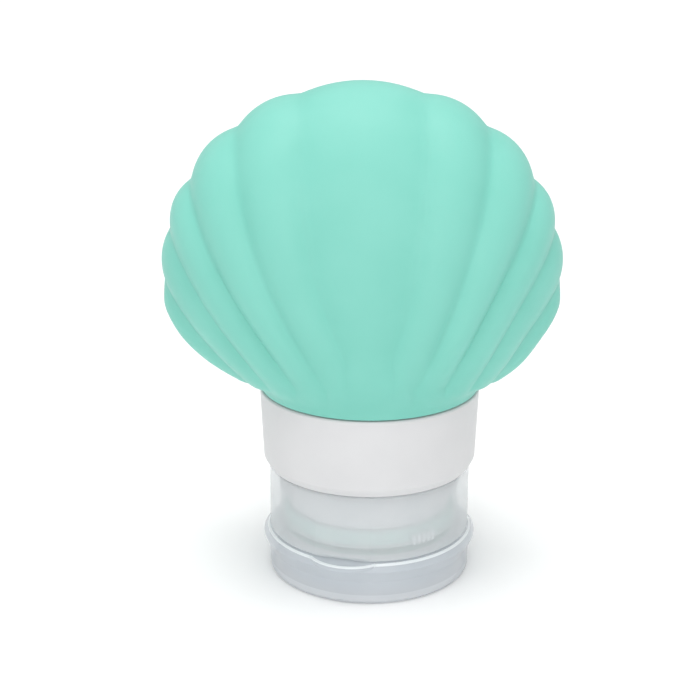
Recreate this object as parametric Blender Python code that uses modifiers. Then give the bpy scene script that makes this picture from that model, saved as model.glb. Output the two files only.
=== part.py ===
"""Travel bottle shaped as a scallop shell, standing on its flip-top cap.

A soft silicone shell holds the liquid. Its mouth sleeve is clamped between a rigid neck insert and a
collar. The screw cap below has a nozzle with a slit silicone valve, and a hinged lid that the bottle
stands on. Metres, +Z up, origin at the centre of the lid's underside, front of the shell towards -Y.
"""

import math

import bmesh
import bpy
from mathutils import Vector

# Running and seating clearance between neighbouring pieces
GAP = 0.0003
# How far a cutter runs past the wall that it cuts
OVERRUN = 0.0010

# Lid: a shallow cup, open side up, that the bottle stands on
LID_RADIUS = 0.0200
LID_HEIGHT = 0.0087
LID_WALL = 0.0017
LID_FLOOR = 0.0016
LID_FOOT_ROUND = 0.0010
LID_CORNER_ROUND = 0.0008
BEAD_PROUD = 0.0012
BEAD_HEIGHT = 0.0039
BEAD_SLOPE = 0.0013
THUMB_LIP_RADIUS = 0.0090
THUMB_LIP_PROUD = 0.0021
THUMB_LIP_HEIGHT = 0.0012
THUMB_LIP_ROUND = 0.0004
PLUG_WALL = 0.0009
PLUG_TAPER = 0.0005
PLUG_CLEARANCE = 0.0005
PLUG_ENTRY = 0.0013

# Cap base: threaded skirt, deck, nozzle and the ring that the lid snaps round
CAP_INSIDE_LID = 0.0002
CAP_HEIGHT = 0.0133
CAP_WALL = 0.0021
CAP_EDGE_ROUND = 0.0004
DECK_THICKNESS = 0.0016
SNAP_RING_HEIGHT = 0.0016
SNAP_RING_WALL = 0.0010
NOZZLE_RADIUS = 0.0052
NOZZLE_BORE = 0.0037
NOZZLE_HEIGHT = 0.0044
NOZZLE_ROUND = 0.0005
VALVE_WALL_HEIGHT = 0.0029
VALVE_WALL_THICKNESS = 0.0012
THUMB_FLAT_DEPTH = 0.0007
THUMB_FLAT_HEIGHT = 0.0007
CAP_YAW_DEGREES = -16.0

# Hinge between lid and cap base
KNUCKLE_RADIUS = 0.0015
KNUCKLE_LENGTH = 0.0080
PINTLE_RADIUS = 0.0008
EAR_THICKNESS = 0.0024
EAR_WALL = 0.0008
EAR_ROOT_HEIGHT = 0.0042
KNUCKLE_ROOT_HEIGHT = 0.0038

# Drip valve and the ring that holds it
VALVE_FLANGE_RADIUS = 0.0068
VALVE_FLANGE_THICKNESS = 0.0010
VALVE_CUP_WALL = 0.0007
VALVE_CUP_DEPTH = 0.0045
VALVE_SKIN = 0.0006
VALVE_DISH = 0.0005
SLIT_LENGTH = 0.0036
SLIT_WIDTH = 0.0003
RETAINER_THICKNESS = 0.0011

# Sealing gasket between the cap's deck and the neck's rim
GASKET_THICKNESS = 0.0027
GASKET_ROUND = 0.0005
GASKET_INSIDE_NECK = 0.0005
GASKET_SIDE_ROOM = 0.0008

# Neck insert: threaded neck, flange, and the barbed tube inside the silicone sleeve
NECK_WALL = 0.0020
NECK_RIM_ROUND = 0.0004
THREAD_DEPTH = 0.0012
THREAD_CLEARANCE = 0.0005
FLANGE_THICKNESS = 0.0012
BARB_PROUD = 0.0006
BARB_LENGTH = 0.0024
BARB_PITCH = 0.0048
BARB_COUNT = 3
NECK_STANDS_IN_BODY = 0.0022

# Collar that clamps the silicone sleeve on the insert
COLLAR_WALL = 0.0021
COLLAR_FLARE = 0.0006
COLLAR_HEIGHT = 0.0156
COLLAR_LIP = 0.0012
COLLAR_CHAMFER_HEIGHT = 0.0015
COLLAR_CHAMFER_DEPTH = 0.0008
COLLAR_TOP_ROUND = 0.0005

# Silicone body: round mouth below, scalloped rim above
BODY_WALL = 0.0020
SLEEVE_OUTSIDE_THREAD = 0.0013
MOUTH_INSIDE_COLLAR = 0.0002
RIM_HALF_WIDTH = 0.03784
RIM_RADIUS_UP = 0.03706
RIM_CENTRE_ABOVE_MOUTH = 0.0212
BODY_HALF_DEPTH = 0.0230
BODY_LEAN = 0.0015
RIB_RISE = 0.0010

# The shell has a centre rib and five ribs on each side. A rib coordinate counts them from the centre:
# rib 0 is the centre one, a groove lies at every half, and rib 5 is the crest on the side edge.
SIDE_RIB = 5.0
LAST_GROOVE = 4.5
GROOVES = (0.0, 0.5, 1.5, 2.5, 3.5, LAST_GROOVE, SIDE_RIB)
GROOVE_RIM_DEGREES = (0.0, 17.7, 38.1, 58.6, 74.0, 89.3, 97.0)
GROOVE_MOUTH_DEGREES = (0.0, 11.5, 22.0, 40.0, 60.0, 80.0, 90.0)
RIB_RISE_SHARES = (0.70, 1.05, 1.30, 1.10, 0.75, 0.60)
FAN_START_SHARES = (0.22, 0.22, 0.11, 0.13, 0.10, 0.0, 0.0)
FAN_POWER_SHARES = (2.44, 2.44, 1.67, 1.21, 1.08, 1.10, 1.40)
FAN_ROOT_SHARES = (1.0, 1.0, 1.0, 1.0, 0.98, 0.95, 0.70)
RIM_FULLNESS = 2.75
DEPTH_POWER = 0.67
BULGE_END_SHARE = 0.12
RIB_FADE_SHARE = 0.22
LEAN_END_SHARE = 0.65

# Facets
TURN_SIDES = 48
SMALL_TURN_SIDES = 32
ROUND_STEPS = 2
CENTRE_RIB_COLUMNS = 3
RIB_COLUMNS = 4
SIDE_RIB_COLUMNS = 2
BODY_ROWS = 13
SLOPE_STEP_SHARE = 0.002
EAR_ARC_DEGREES = (180.0, 420.0)
KNUCKLE_ARC_DEGREES = (185.0, -60.0)
MERGE = 0.00001
SMOOTH_ANGLE = math.radians(28.0)

# Heights of the stack, worked out from the ground up
PARTING = LID_HEIGHT + GAP
DECK_TOP = PARTING + DECK_THICKNESS
GASKET_FLOOR = DECK_TOP + GAP
NECK_RIM = GASKET_FLOOR + GASKET_THICKNESS + GAP
CAP_TOP = PARTING + CAP_HEIGHT
COLLAR_FOOT = CAP_TOP + GAP
COLLAR_TOP = COLLAR_FOOT + COLLAR_HEIGHT
FLANGE_FOOT = COLLAR_FOOT + COLLAR_LIP + GAP
FLANGE_TOP = FLANGE_FOOT + FLANGE_THICKNESS
SLEEVE_FOOT = FLANGE_TOP + GAP
MOUTH = COLLAR_TOP + GAP
VALVE_SEAT = DECK_TOP + GAP
VALVE_FLANGE_TOP = VALVE_SEAT + VALVE_FLANGE_THICKNESS
NOZZLE_TIP = PARTING - NOZZLE_HEIGHT

# Radii that follow from the lid: the cap inside it, the neck in the cap, the sleeve and the collar round it
LID_BORE = LID_RADIUS - LID_WALL
CAP_RADIUS = LID_RADIUS - CAP_INSIDE_LID
CAP_BORE = CAP_RADIUS - CAP_WALL
THREAD_RADIUS = CAP_BORE - THREAD_CLEARANCE
NECK_RADIUS = THREAD_RADIUS - THREAD_DEPTH
NECK_BORE = NECK_RADIUS - NECK_WALL
SLEEVE_RADIUS = THREAD_RADIUS + SLEEVE_OUTSIDE_THREAD
SLEEVE_BORE = SLEEVE_RADIUS - BODY_WALL
COLLAR_BORE = SLEEVE_RADIUS + GAP
COLLAR_FOOT_RADIUS = COLLAR_BORE + COLLAR_WALL
COLLAR_TOP_RADIUS = COLLAR_FOOT_RADIUS + COLLAR_FLARE
MOUTH_RADIUS = COLLAR_TOP_RADIUS - MOUTH_INSIDE_COLLAR
SNAP_RING_RADIUS = LID_BORE - GAP
PLUG_RADIUS = NOZZLE_BORE - PLUG_CLEARANCE

# Rings of the silicone sleeve, as (radius, height), below the first row of the shell
SLEEVE_RINGS = ((SLEEVE_RADIUS, SLEEVE_FOOT), (SLEEVE_RADIUS, MOUTH))

# Hinge axis, in the cap's own frame: behind the skirt, level with the parting line
HINGE_BACK = CAP_RADIUS + GAP + KNUCKLE_RADIUS
HINGE_UP = LID_HEIGHT + GAP / 2.0
EAR_RADIUS = PINTLE_RADIUS + GAP + EAR_WALL


def clear_scene():
    """Empty the open file of objects and start the two collections."""
    for old in list(bpy.data.objects):
        bpy.data.objects.remove(old, do_unlink=True)
    groups = []
    for name in ("travel_bottle", "cutters"):
        group = bpy.data.collections.new(name)
        bpy.context.scene.collection.children.link(group)
        groups.append(group)
    return groups


PARTS, CUTTERS = clear_scene()


def finish(name, colour, roughness, alpha=1.0):
    """A plain moulded finish."""
    material = bpy.data.materials.new(name)
    material.use_nodes = True
    shader = material.node_tree.nodes["Principled BSDF"]
    shader.inputs["Base Color"].default_value = (*colour, 1.0)
    shader.inputs["Roughness"].default_value = roughness
    shader.inputs["Metallic"].default_value = 0.0
    shader.inputs["Alpha"].default_value = alpha
    material.diffuse_color = (*colour, alpha)
    return material


def add(name, mesh, material=None, group=PARTS):
    """Put a mesh in the scene as a named object."""
    piece = bpy.data.objects.new(name, mesh)
    group.objects.link(piece)
    if material is not None:
        mesh.materials.append(material)
    if group is CUTTERS:
        piece.hide_render = True
        piece.display_type = "WIRE"
    return piece


def rounded(corners, closed=True):
    """Round the corners of an outline of (radius, height, fillet) and return its (radius, height) points."""
    points = []
    count = len(corners)
    for index, (across, up, fillet) in enumerate(corners):
        here = Vector((across, up))
        end_point = not closed and index in (0, count - 1)
        if fillet <= 0.0 or end_point:
            points.append((across, up))
            continue
        before = (Vector(corners[index - 1][:2]) - here).normalized()
        after = (Vector(corners[(index + 1) % count][:2]) - here).normalized()
        half = before.angle(after) / 2.0
        centre = here + (before + after).normalized() * (fillet / math.sin(half))
        start = here + before * (fillet / math.tan(half)) - centre
        stop = here + after * (fillet / math.tan(half)) - centre
        for step in range(ROUND_STEPS + 1):
            arm = start.lerp(stop, step / ROUND_STEPS).normalized() * fillet
            points.append(tuple(centre + arm))
    return points


def turned(name, outline, material=None, group=PARTS, sides=TURN_SIDES, closed=True):
    """Spin an outline about Z: its outer side comes first and runs down."""
    points = [(across, 0.0, up) for across, up in outline]
    edges = [(i, i + 1) for i in range(len(points) - 1)]
    if closed:
        edges.append((len(points) - 1, 0))
    mesh = bpy.data.meshes.new(name)
    mesh.from_pydata(points, edges, [])
    piece = add(name, mesh, material, group)
    turn = piece.modifiers.new("turn", "SCREW")
    turn.steps = sides
    turn.render_steps = sides
    turn.use_merge_vertices = True
    turn.merge_threshold = MERGE
    turn.use_smooth_shade = True
    return piece


def plate(name, outline, thickness, centre_x):
    """A flat outline of (back, up) points, thick along X and centred at centre_x."""
    curve = bpy.data.curves.new(name, "CURVE")
    curve.dimensions = "2D"
    curve.fill_mode = "BOTH"
    curve.extrude = thickness / 2.0
    spline = curve.splines.new("POLY")
    spline.points.add(len(outline) - 1)
    for point, (back, up) in zip(spline.points, outline):
        point.co = (back, up, 0.0, 1.0)
    spline.use_cyclic_u = True
    flat = bpy.data.objects.new(name, curve)
    flat.rotation_euler = (math.radians(90.0), 0.0, math.radians(90.0))
    flat.location = (centre_x, 0.0, 0.0)
    return as_mesh(flat, CUTTERS)


def as_mesh(source, group):
    """Replace a curve object with a welded mesh that keeps its place."""
    group.objects.link(source)
    bpy.context.view_layer.update()
    evaluated = source.evaluated_get(bpy.context.evaluated_depsgraph_get())
    mesh = bpy.data.meshes.new_from_object(evaluated)
    weld = bmesh.new()
    weld.from_mesh(mesh)
    bmesh.ops.remove_doubles(weld, verts=weld.verts, dist=MERGE)
    weld.to_mesh(mesh)
    weld.free()
    name = source.name
    place = source.matrix_world.copy()
    bpy.data.objects.remove(source, do_unlink=True)
    piece = add(name, mesh, None, group)
    piece.matrix_world = place
    return piece


def round_bar(name, radius, length, centre, group=CUTTERS):
    """A bar along X, as a cone primitive with equal ends."""
    mesh = bpy.data.meshes.new(name)
    solid = bmesh.new()
    bmesh.ops.create_cone(
        solid, cap_ends=True, segments=SMALL_TURN_SIDES // 2, radius1=radius, radius2=radius, depth=length
    )
    solid.to_mesh(mesh)
    solid.free()
    bar = add(name, mesh, None, group)
    bar.rotation_euler = (0.0, math.radians(90.0), 0.0)
    bar.location = centre
    return bar


def block(name, low, high, group=CUTTERS):
    """A box between two corners."""
    mesh = bpy.data.meshes.new(name)
    solid = bmesh.new()
    bmesh.ops.create_cube(solid, size=1.0)
    size = Vector(high) - Vector(low)
    bmesh.ops.scale(solid, verts=solid.verts, vec=size)
    solid.to_mesh(mesh)
    solid.free()
    box = add(name, mesh, None, group)
    box.location = (Vector(low) + Vector(high)) / 2.0
    return box


def combine(piece, tool, operation):
    """Join a tool to a piece, or cut it away."""
    step = piece.modifiers.new(tool.name, "BOOLEAN")
    step.operation = operation
    step.solver = "EXACT"
    step.object = tool


def frame_empty(name, parent, location, yaw=0.0):
    """An empty that carries pieces."""
    empty = bpy.data.objects.new(name, None)
    PARTS.objects.link(empty)
    empty.parent = parent
    empty.location = location
    empty.rotation_euler = (0.0, 0.0, yaw)
    return empty


def carry(piece, parent, origin=(0.0, 0.0, 0.0)):
    """Hang a piece from an empty whose own origin lies at the given point of the cap's frame."""
    piece.parent = parent
    piece.location = piece.location - Vector(origin)


# Finishes, from the photographed colours
MINT_SILICONE = finish("mint_silicone", (0.36, 0.76, 0.66), 0.55)
WHITE_PLASTIC = finish("white_plastic", (0.72, 0.72, 0.72), 0.35)
FROSTED_PLASTIC = finish("frosted_plastic", (0.62, 0.68, 0.70), 0.30, alpha=0.6)
CLEAR_SILICONE = finish("clear_silicone", (0.80, 0.84, 0.83), 0.40, alpha=0.7)


# Silicone body


def between(value, keys, values):
    """Straight interpolation in a table."""
    for index in range(len(keys) - 1):
        if value <= keys[index + 1]:
            share = (value - keys[index]) / (keys[index + 1] - keys[index])
            return values[index] + (values[index + 1] - values[index]) * share
    return values[-1]


def ease(share):
    """A soft step from 0 to 1."""
    share = min(max(share, 0.0), 1.0)
    return share * share * (3.0 - 2.0 * share)


def edge_share(rib):
    """0 up to the last groove, then easing flat to 1 at the crest on the side edge."""
    share = max(0.0, (rib - LAST_GROOVE) / (SIDE_RIB - LAST_GROOVE))
    return 1.0 - (1.0 - share) ** 2


def rim_point(rib):
    """Where a rib line meets the rim, in the plane between front and back."""
    if rib > LAST_GROOVE:
        first, last = GROOVE_RIM_DEGREES[-2:]
        degrees = first + (last - first) * edge_share(rib)
    else:
        degrees = between(rib, GROOVES, GROOVE_RIM_DEGREES)
    angle = math.radians(degrees)
    centre = MOUTH + RIM_CENTRE_ABOVE_MOUTH
    return RIM_HALF_WIDTH * math.sin(angle), centre + RIM_RADIUS_UP * math.cos(angle)


def spread(rib, share):
    """How far a rib line has moved from its mouth place to its rim place, by its share of the height."""
    eased = min(rib, LAST_GROOVE) + (SIDE_RIB - LAST_GROOVE) * edge_share(rib)
    start = between(eased, GROOVES, FAN_START_SHARES)
    power = between(eased, GROOVES, FAN_POWER_SHARES)
    root = between(eased, GROOVES, FAN_ROOT_SHARES)
    left = 1.0 - max(0.0, share - start) / (1.0 - start)
    return (1.0 - left**power) ** root


def smooth_shell(rib, along):
    """Front quarter of the shell without its ribs: along runs from the mouth at 0 to the rim at 1."""
    share = math.sin(math.pi / 2.0 * along)
    mouth_angle = math.radians(between(rib, GROOVES, GROOVE_MOUTH_DEGREES))
    mouth_x = MOUTH_RADIUS * math.sin(mouth_angle)
    mouth_y = MOUTH_RADIUS * math.cos(mouth_angle)
    rim_x, rim_z = rim_point(rib)
    depth = BODY_HALF_DEPTH * max(0.0, 1.0 - (rib / SIDE_RIB) ** 2) ** DEPTH_POWER
    deep = mouth_y + (depth - mouth_y) * ease(share / BULGE_END_SHARE)
    close = math.sqrt(max(0.0, 1.0 - share**RIM_FULLNESS))
    x = mouth_x + (rim_x - mouth_x) * spread(rib, share)
    return Vector((x, -deep * close, MOUTH + (rim_z - MOUTH) * share))


def outward(rib, along):
    """Normal of the smooth shell, kept in its mirror planes on the edges of the quarter."""
    nudge = SLOPE_STEP_SHARE
    low_rib = min(max(rib - nudge, 0.0), SIDE_RIB - 2.0 * nudge)
    low_along = min(max(along - nudge, 0.0), 1.0 - 2.0 * nudge)
    here = smooth_shell(low_rib, low_along)
    across = smooth_shell(low_rib + nudge, low_along) - here
    upward = smooth_shell(low_rib, low_along + nudge) - here
    normal = across.cross(upward)
    if rib == 0.0:
        normal.x = 0.0
    if rib == SIDE_RIB or along == 1.0:
        normal.y = 0.0
    return normal.normalized()


def rib_height(rib, along):
    """Arched section of a rib, zero in its grooves and fading out towards the mouth."""
    number = math.floor(rib + 0.5)
    offset = 2.0 * (rib - number)
    arch = 1.0 - offset * offset
    rise = RIB_RISE * RIB_RISE_SHARES[min(number, len(RIB_RISE_SHARES) - 1)]
    return rise * arch * ease(along / RIB_FADE_SHARE)


def rib_columns():
    """Rib coordinates of the mesh columns, with one in every groove and on every crest."""
    columns = [0.5 * i / CENTRE_RIB_COLUMNS for i in range(CENTRE_RIB_COLUMNS)]
    for number in range(1, int(SIDE_RIB)):
        columns += [number - 0.5 + i / RIB_COLUMNS for i in range(RIB_COLUMNS)]
    width = SIDE_RIB - LAST_GROOVE
    columns += [LAST_GROOVE + width * i / SIDE_RIB_COLUMNS for i in range(SIDE_RIB_COLUMNS + 1)]
    return columns


def quarter_point(rib, row):
    """Point of the front right quarter: the rings of the sleeve first, then the rows of the shell."""
    if row < len(SLEEVE_RINGS):
        radius, up = SLEEVE_RINGS[row]
        angle = math.radians(between(rib, GROOVES, GROOVE_MOUTH_DEGREES))
        return Vector((radius * math.sin(angle), -radius * math.cos(angle), up))
    along = (row - len(SLEEVE_RINGS)) / BODY_ROWS
    return smooth_shell(rib, along) + outward(rib, along) * rib_height(rib, along)


def body_point(side, rib, row):
    """Point of the front half, on the left side at -1 and the right at 1, with the soft shell's lean."""
    point = quarter_point(rib, row)
    along = max(0, row - len(SLEEVE_RINGS)) / BODY_ROWS
    share = math.sin(math.pi / 2.0 * along)
    point.x = side * point.x - BODY_LEAN * ease(share / LEAN_END_SHARE)
    return point


def make_body():
    """Hollow scallop shell: its front half lofted from the round mouth to the rim, mirrored and thickened."""
    right = [(1.0, rib) for rib in rib_columns()]
    left = [(-1.0, rib) for rib in rib_columns()[:0:-1]]
    columns = left + right
    rows = len(SLEEVE_RINGS) + BODY_ROWS + 1
    loft = bmesh.new()
    grid = [[loft.verts.new(body_point(side, rib, row)) for side, rib in columns] for row in range(rows)]
    for row in range(rows - 1):
        for column in range(len(columns) - 1):
            corners = (
                grid[row][column],
                grid[row][column + 1],
                grid[row + 1][column + 1],
                grid[row + 1][column],
            )
            loft.faces.new(corners)
    mesh = bpy.data.meshes.new("silicone_body")
    loft.to_mesh(mesh)
    loft.free()
    mesh.shade_smooth()
    mesh.set_sharp_from_angle(angle=SMOOTH_ANGLE)
    body = add("silicone_body", mesh, MINT_SILICONE)
    mirror = body.modifiers.new("back_half", "MIRROR")
    mirror.use_axis = (False, True, False)
    mirror.use_clip = True
    mirror.merge_threshold = MERGE
    wall = body.modifiers.new("wall", "SOLIDIFY")
    wall.thickness = BODY_WALL
    wall.offset = -1.0
    wall.use_even_offset = True
    return body


# Neck insert and collar


def make_neck_insert():
    """Rigid neck: open rim and threaded neck below, flange, then a barbed tube inside the sleeve."""
    tube_radius = SLEEVE_BORE - GAP - BARB_PROUD
    top = MOUTH + BODY_WALL + NECK_STANDS_IN_BODY
    corners = [(tube_radius, top, NECK_RIM_ROUND)]
    for number in range(BARB_COUNT):
        barb_top = MOUTH - number * BARB_PITCH
        corners.append((tube_radius, barb_top, 0.0))
        corners.append((tube_radius + BARB_PROUD, barb_top - BARB_LENGTH, 0.0))
        corners.append((tube_radius, barb_top - BARB_LENGTH, 0.0))
    corners += [
        (tube_radius, FLANGE_TOP, 0.0),
        (COLLAR_BORE - GAP, FLANGE_TOP, 0.0),
        (COLLAR_BORE - GAP, FLANGE_FOOT, 0.0),
        (NECK_RADIUS, FLANGE_FOOT, 0.0),
        (NECK_RADIUS, NECK_RIM, NECK_RIM_ROUND),
        (NECK_BORE, NECK_RIM, NECK_RIM_ROUND),
        (NECK_BORE, top, NECK_RIM_ROUND),
    ]
    return turned("neck_insert", rounded(corners), WHITE_PLASTIC)


def make_collar():
    """White clamping collar with a chamfered foot and an inner lip under the insert's flange."""
    corners = [
        (COLLAR_TOP_RADIUS, COLLAR_TOP, COLLAR_TOP_ROUND),
        (COLLAR_FOOT_RADIUS, COLLAR_FOOT + COLLAR_CHAMFER_HEIGHT, 0.0),
        (COLLAR_FOOT_RADIUS - COLLAR_CHAMFER_DEPTH, COLLAR_FOOT, 0.0),
        (THREAD_RADIUS + GAP, COLLAR_FOOT, 0.0),
        (THREAD_RADIUS + GAP, COLLAR_FOOT + COLLAR_LIP, 0.0),
        (COLLAR_BORE, COLLAR_FOOT + COLLAR_LIP, 0.0),
        (COLLAR_BORE, COLLAR_TOP, 0.0),
    ]
    return turned("collar", rounded(corners), WHITE_PLASTIC)


# Cap: gasket, valve, retainer, base and lid


def make_gasket():
    """Flat sealing ring that the neck's rim presses on the deck."""
    outer = CAP_BORE - GASKET_SIDE_ROOM
    inner = NECK_BORE - GASKET_INSIDE_NECK
    corners = [
        (outer, GASKET_FLOOR + GASKET_THICKNESS, GASKET_ROUND),
        (outer, GASKET_FLOOR, GASKET_ROUND),
        (inner, GASKET_FLOOR, 0.0),
        (inner, GASKET_FLOOR + GASKET_THICKNESS, 0.0),
    ]
    return turned("sealing_gasket", rounded(corners), MINT_SILICONE)


def make_valve():
    """Silicone drip valve: a flange on the deck and a cup in the nozzle, closed by a slit skin."""
    cup = NOZZLE_BORE - GAP
    cup_bore = cup - VALVE_CUP_WALL
    cup_foot = VALVE_FLANGE_TOP - VALVE_CUP_DEPTH
    corners = [
        (cup_bore, VALVE_FLANGE_TOP, 0.0),
        (VALVE_FLANGE_RADIUS, VALVE_FLANGE_TOP, 0.0),
        (VALVE_FLANGE_RADIUS, VALVE_SEAT, 0.0),
        (cup, VALVE_SEAT, 0.0),
        (cup, cup_foot, VALVE_SKIN),
        (cup_bore, cup_foot, 0.0),
        (0.0, cup_foot + VALVE_DISH, 0.0),
    ]
    inside = [
        (0.0, cup_foot + VALVE_DISH + VALVE_SKIN),
        (cup_bore, cup_foot + VALVE_SKIN),
    ]
    outline = inside + rounded(corners, closed=False)
    valve = turned("drip_valve", outline, CLEAR_SILICONE, sides=SMALL_TURN_SIDES, closed=False)
    half = Vector((SLIT_LENGTH, SLIT_WIDTH, 0.0)) / 2.0
    for name, reach in (("slit_across", half), ("slit_along", half.yxz)):
        low = Vector((-reach.x, -reach.y, cup_foot - OVERRUN))
        high = Vector((reach.x, reach.y, cup_foot + VALVE_DISH + VALVE_SKIN + OVERRUN))
        combine(valve, block(name, low, high), "DIFFERENCE")
    return valve


def make_retainer():
    """Ring that snaps into the wall on the deck and holds the valve's flange."""
    foot = VALVE_FLANGE_TOP + GAP
    top = foot + RETAINER_THICKNESS
    outline = [
        (VALVE_FLANGE_RADIUS, top),
        (VALVE_FLANGE_RADIUS, foot),
        (NOZZLE_BORE, foot),
        (NOZZLE_BORE, top),
    ]
    return turned("valve_retainer", outline, WHITE_PLASTIC, sides=SMALL_TURN_SIDES)


def arc(radius, degrees, steps):
    """Points on a circle about the hinge axis, as (back, up), from the first angle to the last."""
    first, last = degrees
    points = []
    for step in range(steps + 1):
        angle = math.radians(first + (last - first) * step / steps)
        points.append((HINGE_BACK + radius * math.cos(angle), HINGE_UP + radius * math.sin(angle)))
    return points


def make_cap_base():
    """Skirt, deck, nozzle, valve wall and snap ring in one moulding, with two hinge ears at the back."""
    valve_wall = VALVE_FLANGE_RADIUS + GAP
    outer_wall = valve_wall + VALVE_WALL_THICKNESS
    ring_foot = PARTING - SNAP_RING_HEIGHT
    ring_bore = SNAP_RING_RADIUS - SNAP_RING_WALL
    corners = [
        (CAP_RADIUS, CAP_TOP, CAP_EDGE_ROUND),
        (CAP_RADIUS, PARTING, 0.0),
        (SNAP_RING_RADIUS, PARTING, 0.0),
        (SNAP_RING_RADIUS, ring_foot, 0.0),
        (ring_bore, ring_foot, 0.0),
        (ring_bore, PARTING, 0.0),
        (NOZZLE_RADIUS, PARTING, NOZZLE_ROUND),
        (NOZZLE_RADIUS, NOZZLE_TIP, NOZZLE_ROUND),
        (NOZZLE_BORE, NOZZLE_TIP, 0.0),
        (NOZZLE_BORE, DECK_TOP, 0.0),
        (valve_wall, DECK_TOP, 0.0),
        (valve_wall, DECK_TOP + VALVE_WALL_HEIGHT, 0.0),
        (outer_wall, DECK_TOP + VALVE_WALL_HEIGHT, 0.0),
        (outer_wall, DECK_TOP, 0.0),
        (CAP_BORE, DECK_TOP, 0.0),
        (CAP_BORE, CAP_TOP, 0.0),
    ]
    base = turned("cap_base", rounded(corners), FROSTED_PLASTIC)
    outline = [(CAP_BORE, PARTING), (HINGE_BACK - EAR_RADIUS, PARTING)]
    outline += arc(EAR_RADIUS, EAR_ARC_DEGREES, SMALL_TURN_SIDES // 2)
    outline.append((CAP_BORE, PARTING + EAR_ROOT_HEIGHT))
    ear_centre = KNUCKLE_LENGTH / 2.0 + GAP + EAR_THICKNESS / 2.0
    for side, sign in (("left", -1.0), ("right", 1.0)):
        ear = plate("ear_" + side, outline, EAR_THICKNESS, sign * ear_centre)
        combine(base, ear, "UNION")
    hole_length = KNUCKLE_LENGTH + 2.0 * (GAP + EAR_THICKNESS + OVERRUN)
    hole = round_bar("ear_holes", PINTLE_RADIUS + GAP, hole_length, (0.0, HINGE_BACK, HINGE_UP))
    combine(base, hole, "DIFFERENCE")
    flat_face = -(CAP_RADIUS - THUMB_FLAT_DEPTH)
    thumb_flat = block(
        "thumb_flat",
        (-CAP_RADIUS, flat_face - CAP_WALL, PARTING - OVERRUN),
        (CAP_RADIUS, flat_face, PARTING + THUMB_FLAT_HEIGHT),
    )
    combine(base, thumb_flat, "DIFFERENCE")
    return base


def make_thumb_lip():
    """Crescent that widens the bead at the front of the lid for a thumb."""
    centre = -(LID_RADIUS + THUMB_LIP_PROUD - THUMB_LIP_RADIUS)
    low = LID_HEIGHT - THUMB_LIP_HEIGHT
    corners = [
        (0.0, LID_HEIGHT, 0.0),
        (THUMB_LIP_RADIUS, LID_HEIGHT, THUMB_LIP_ROUND),
        (THUMB_LIP_RADIUS, low, THUMB_LIP_ROUND),
        (0.0, low, 0.0),
    ]
    lip = turned("thumb_lip", rounded(corners, closed=False), None, CUTTERS, closed=False)
    lip.location = (0.0, centre, 0.0)
    mid_wall = LID_RADIUS - LID_WALL / 2.0
    core_outline = [
        (0.0, LID_HEIGHT + OVERRUN),
        (mid_wall, LID_HEIGHT + OVERRUN),
        (mid_wall, low - OVERRUN),
        (0.0, low - OVERRUN),
    ]
    core = turned("lid_hollow", core_outline, None, CUTTERS, closed=False)
    combine(lip, core, "DIFFERENCE")
    return lip


def make_lid():
    """Cup with a sloped bead round its open rim and a hollow plug that closes the nozzle."""
    plug_top = NOZZLE_TIP + PLUG_ENTRY
    plug_bore = PLUG_RADIUS - PLUG_WALL - PLUG_TAPER
    corners = [
        (0.0, LID_FLOOR, 0.0),
        (plug_bore, LID_FLOOR, 0.0),
        (plug_bore, plug_top, 0.0),
        (PLUG_RADIUS - PLUG_TAPER, plug_top, 0.0),
        (PLUG_RADIUS, LID_FLOOR, 0.0),
        (LID_BORE, LID_FLOOR, LID_CORNER_ROUND),
        (LID_BORE, LID_HEIGHT, 0.0),
        (LID_RADIUS, LID_HEIGHT, 0.0),
        (LID_RADIUS + BEAD_PROUD, LID_HEIGHT - BEAD_SLOPE, 0.0),
        (LID_RADIUS, LID_HEIGHT - BEAD_HEIGHT, 0.0),
        (LID_RADIUS, 0.0, LID_FOOT_ROUND),
        (0.0, 0.0, 0.0),
    ]
    return turned("flip_lid", rounded(corners, closed=False), FROSTED_PLASTIC, closed=False)


def add_lid_hinge(lid):
    """Knuckle and pintles on the lid, with room cut in its bead for the ears."""
    reach = EAR_RADIUS + GAP
    ear_inner = KNUCKLE_LENGTH / 2.0
    ear_outer = ear_inner + EAR_THICKNESS + 2.0 * GAP
    for side, sign in (("left", -1.0), ("right", 1.0)):
        middle = sign * (ear_inner + ear_outer) / 2.0
        room = round_bar("ear_room_" + side, reach, ear_outer - ear_inner, (middle, HINGE_BACK, HINGE_UP))
        combine(lid, room, "DIFFERENCE")
    outline = [(LID_BORE, LID_HEIGHT)]
    outline += arc(KNUCKLE_RADIUS, KNUCKLE_ARC_DEGREES, SMALL_TURN_SIDES // 2)
    outline.append((LID_BORE, LID_HEIGHT - KNUCKLE_ROOT_HEIGHT))
    knuckle = plate("knuckle", outline, KNUCKLE_LENGTH, 0.0)
    combine(lid, knuckle, "UNION")
    pintle_length = KNUCKLE_LENGTH + 2.0 * (GAP + EAR_THICKNESS)
    pintle = round_bar("pintle", PINTLE_RADIUS, pintle_length, (0.0, HINGE_BACK, HINGE_UP))
    combine(lid, pintle, "UNION")


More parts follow.
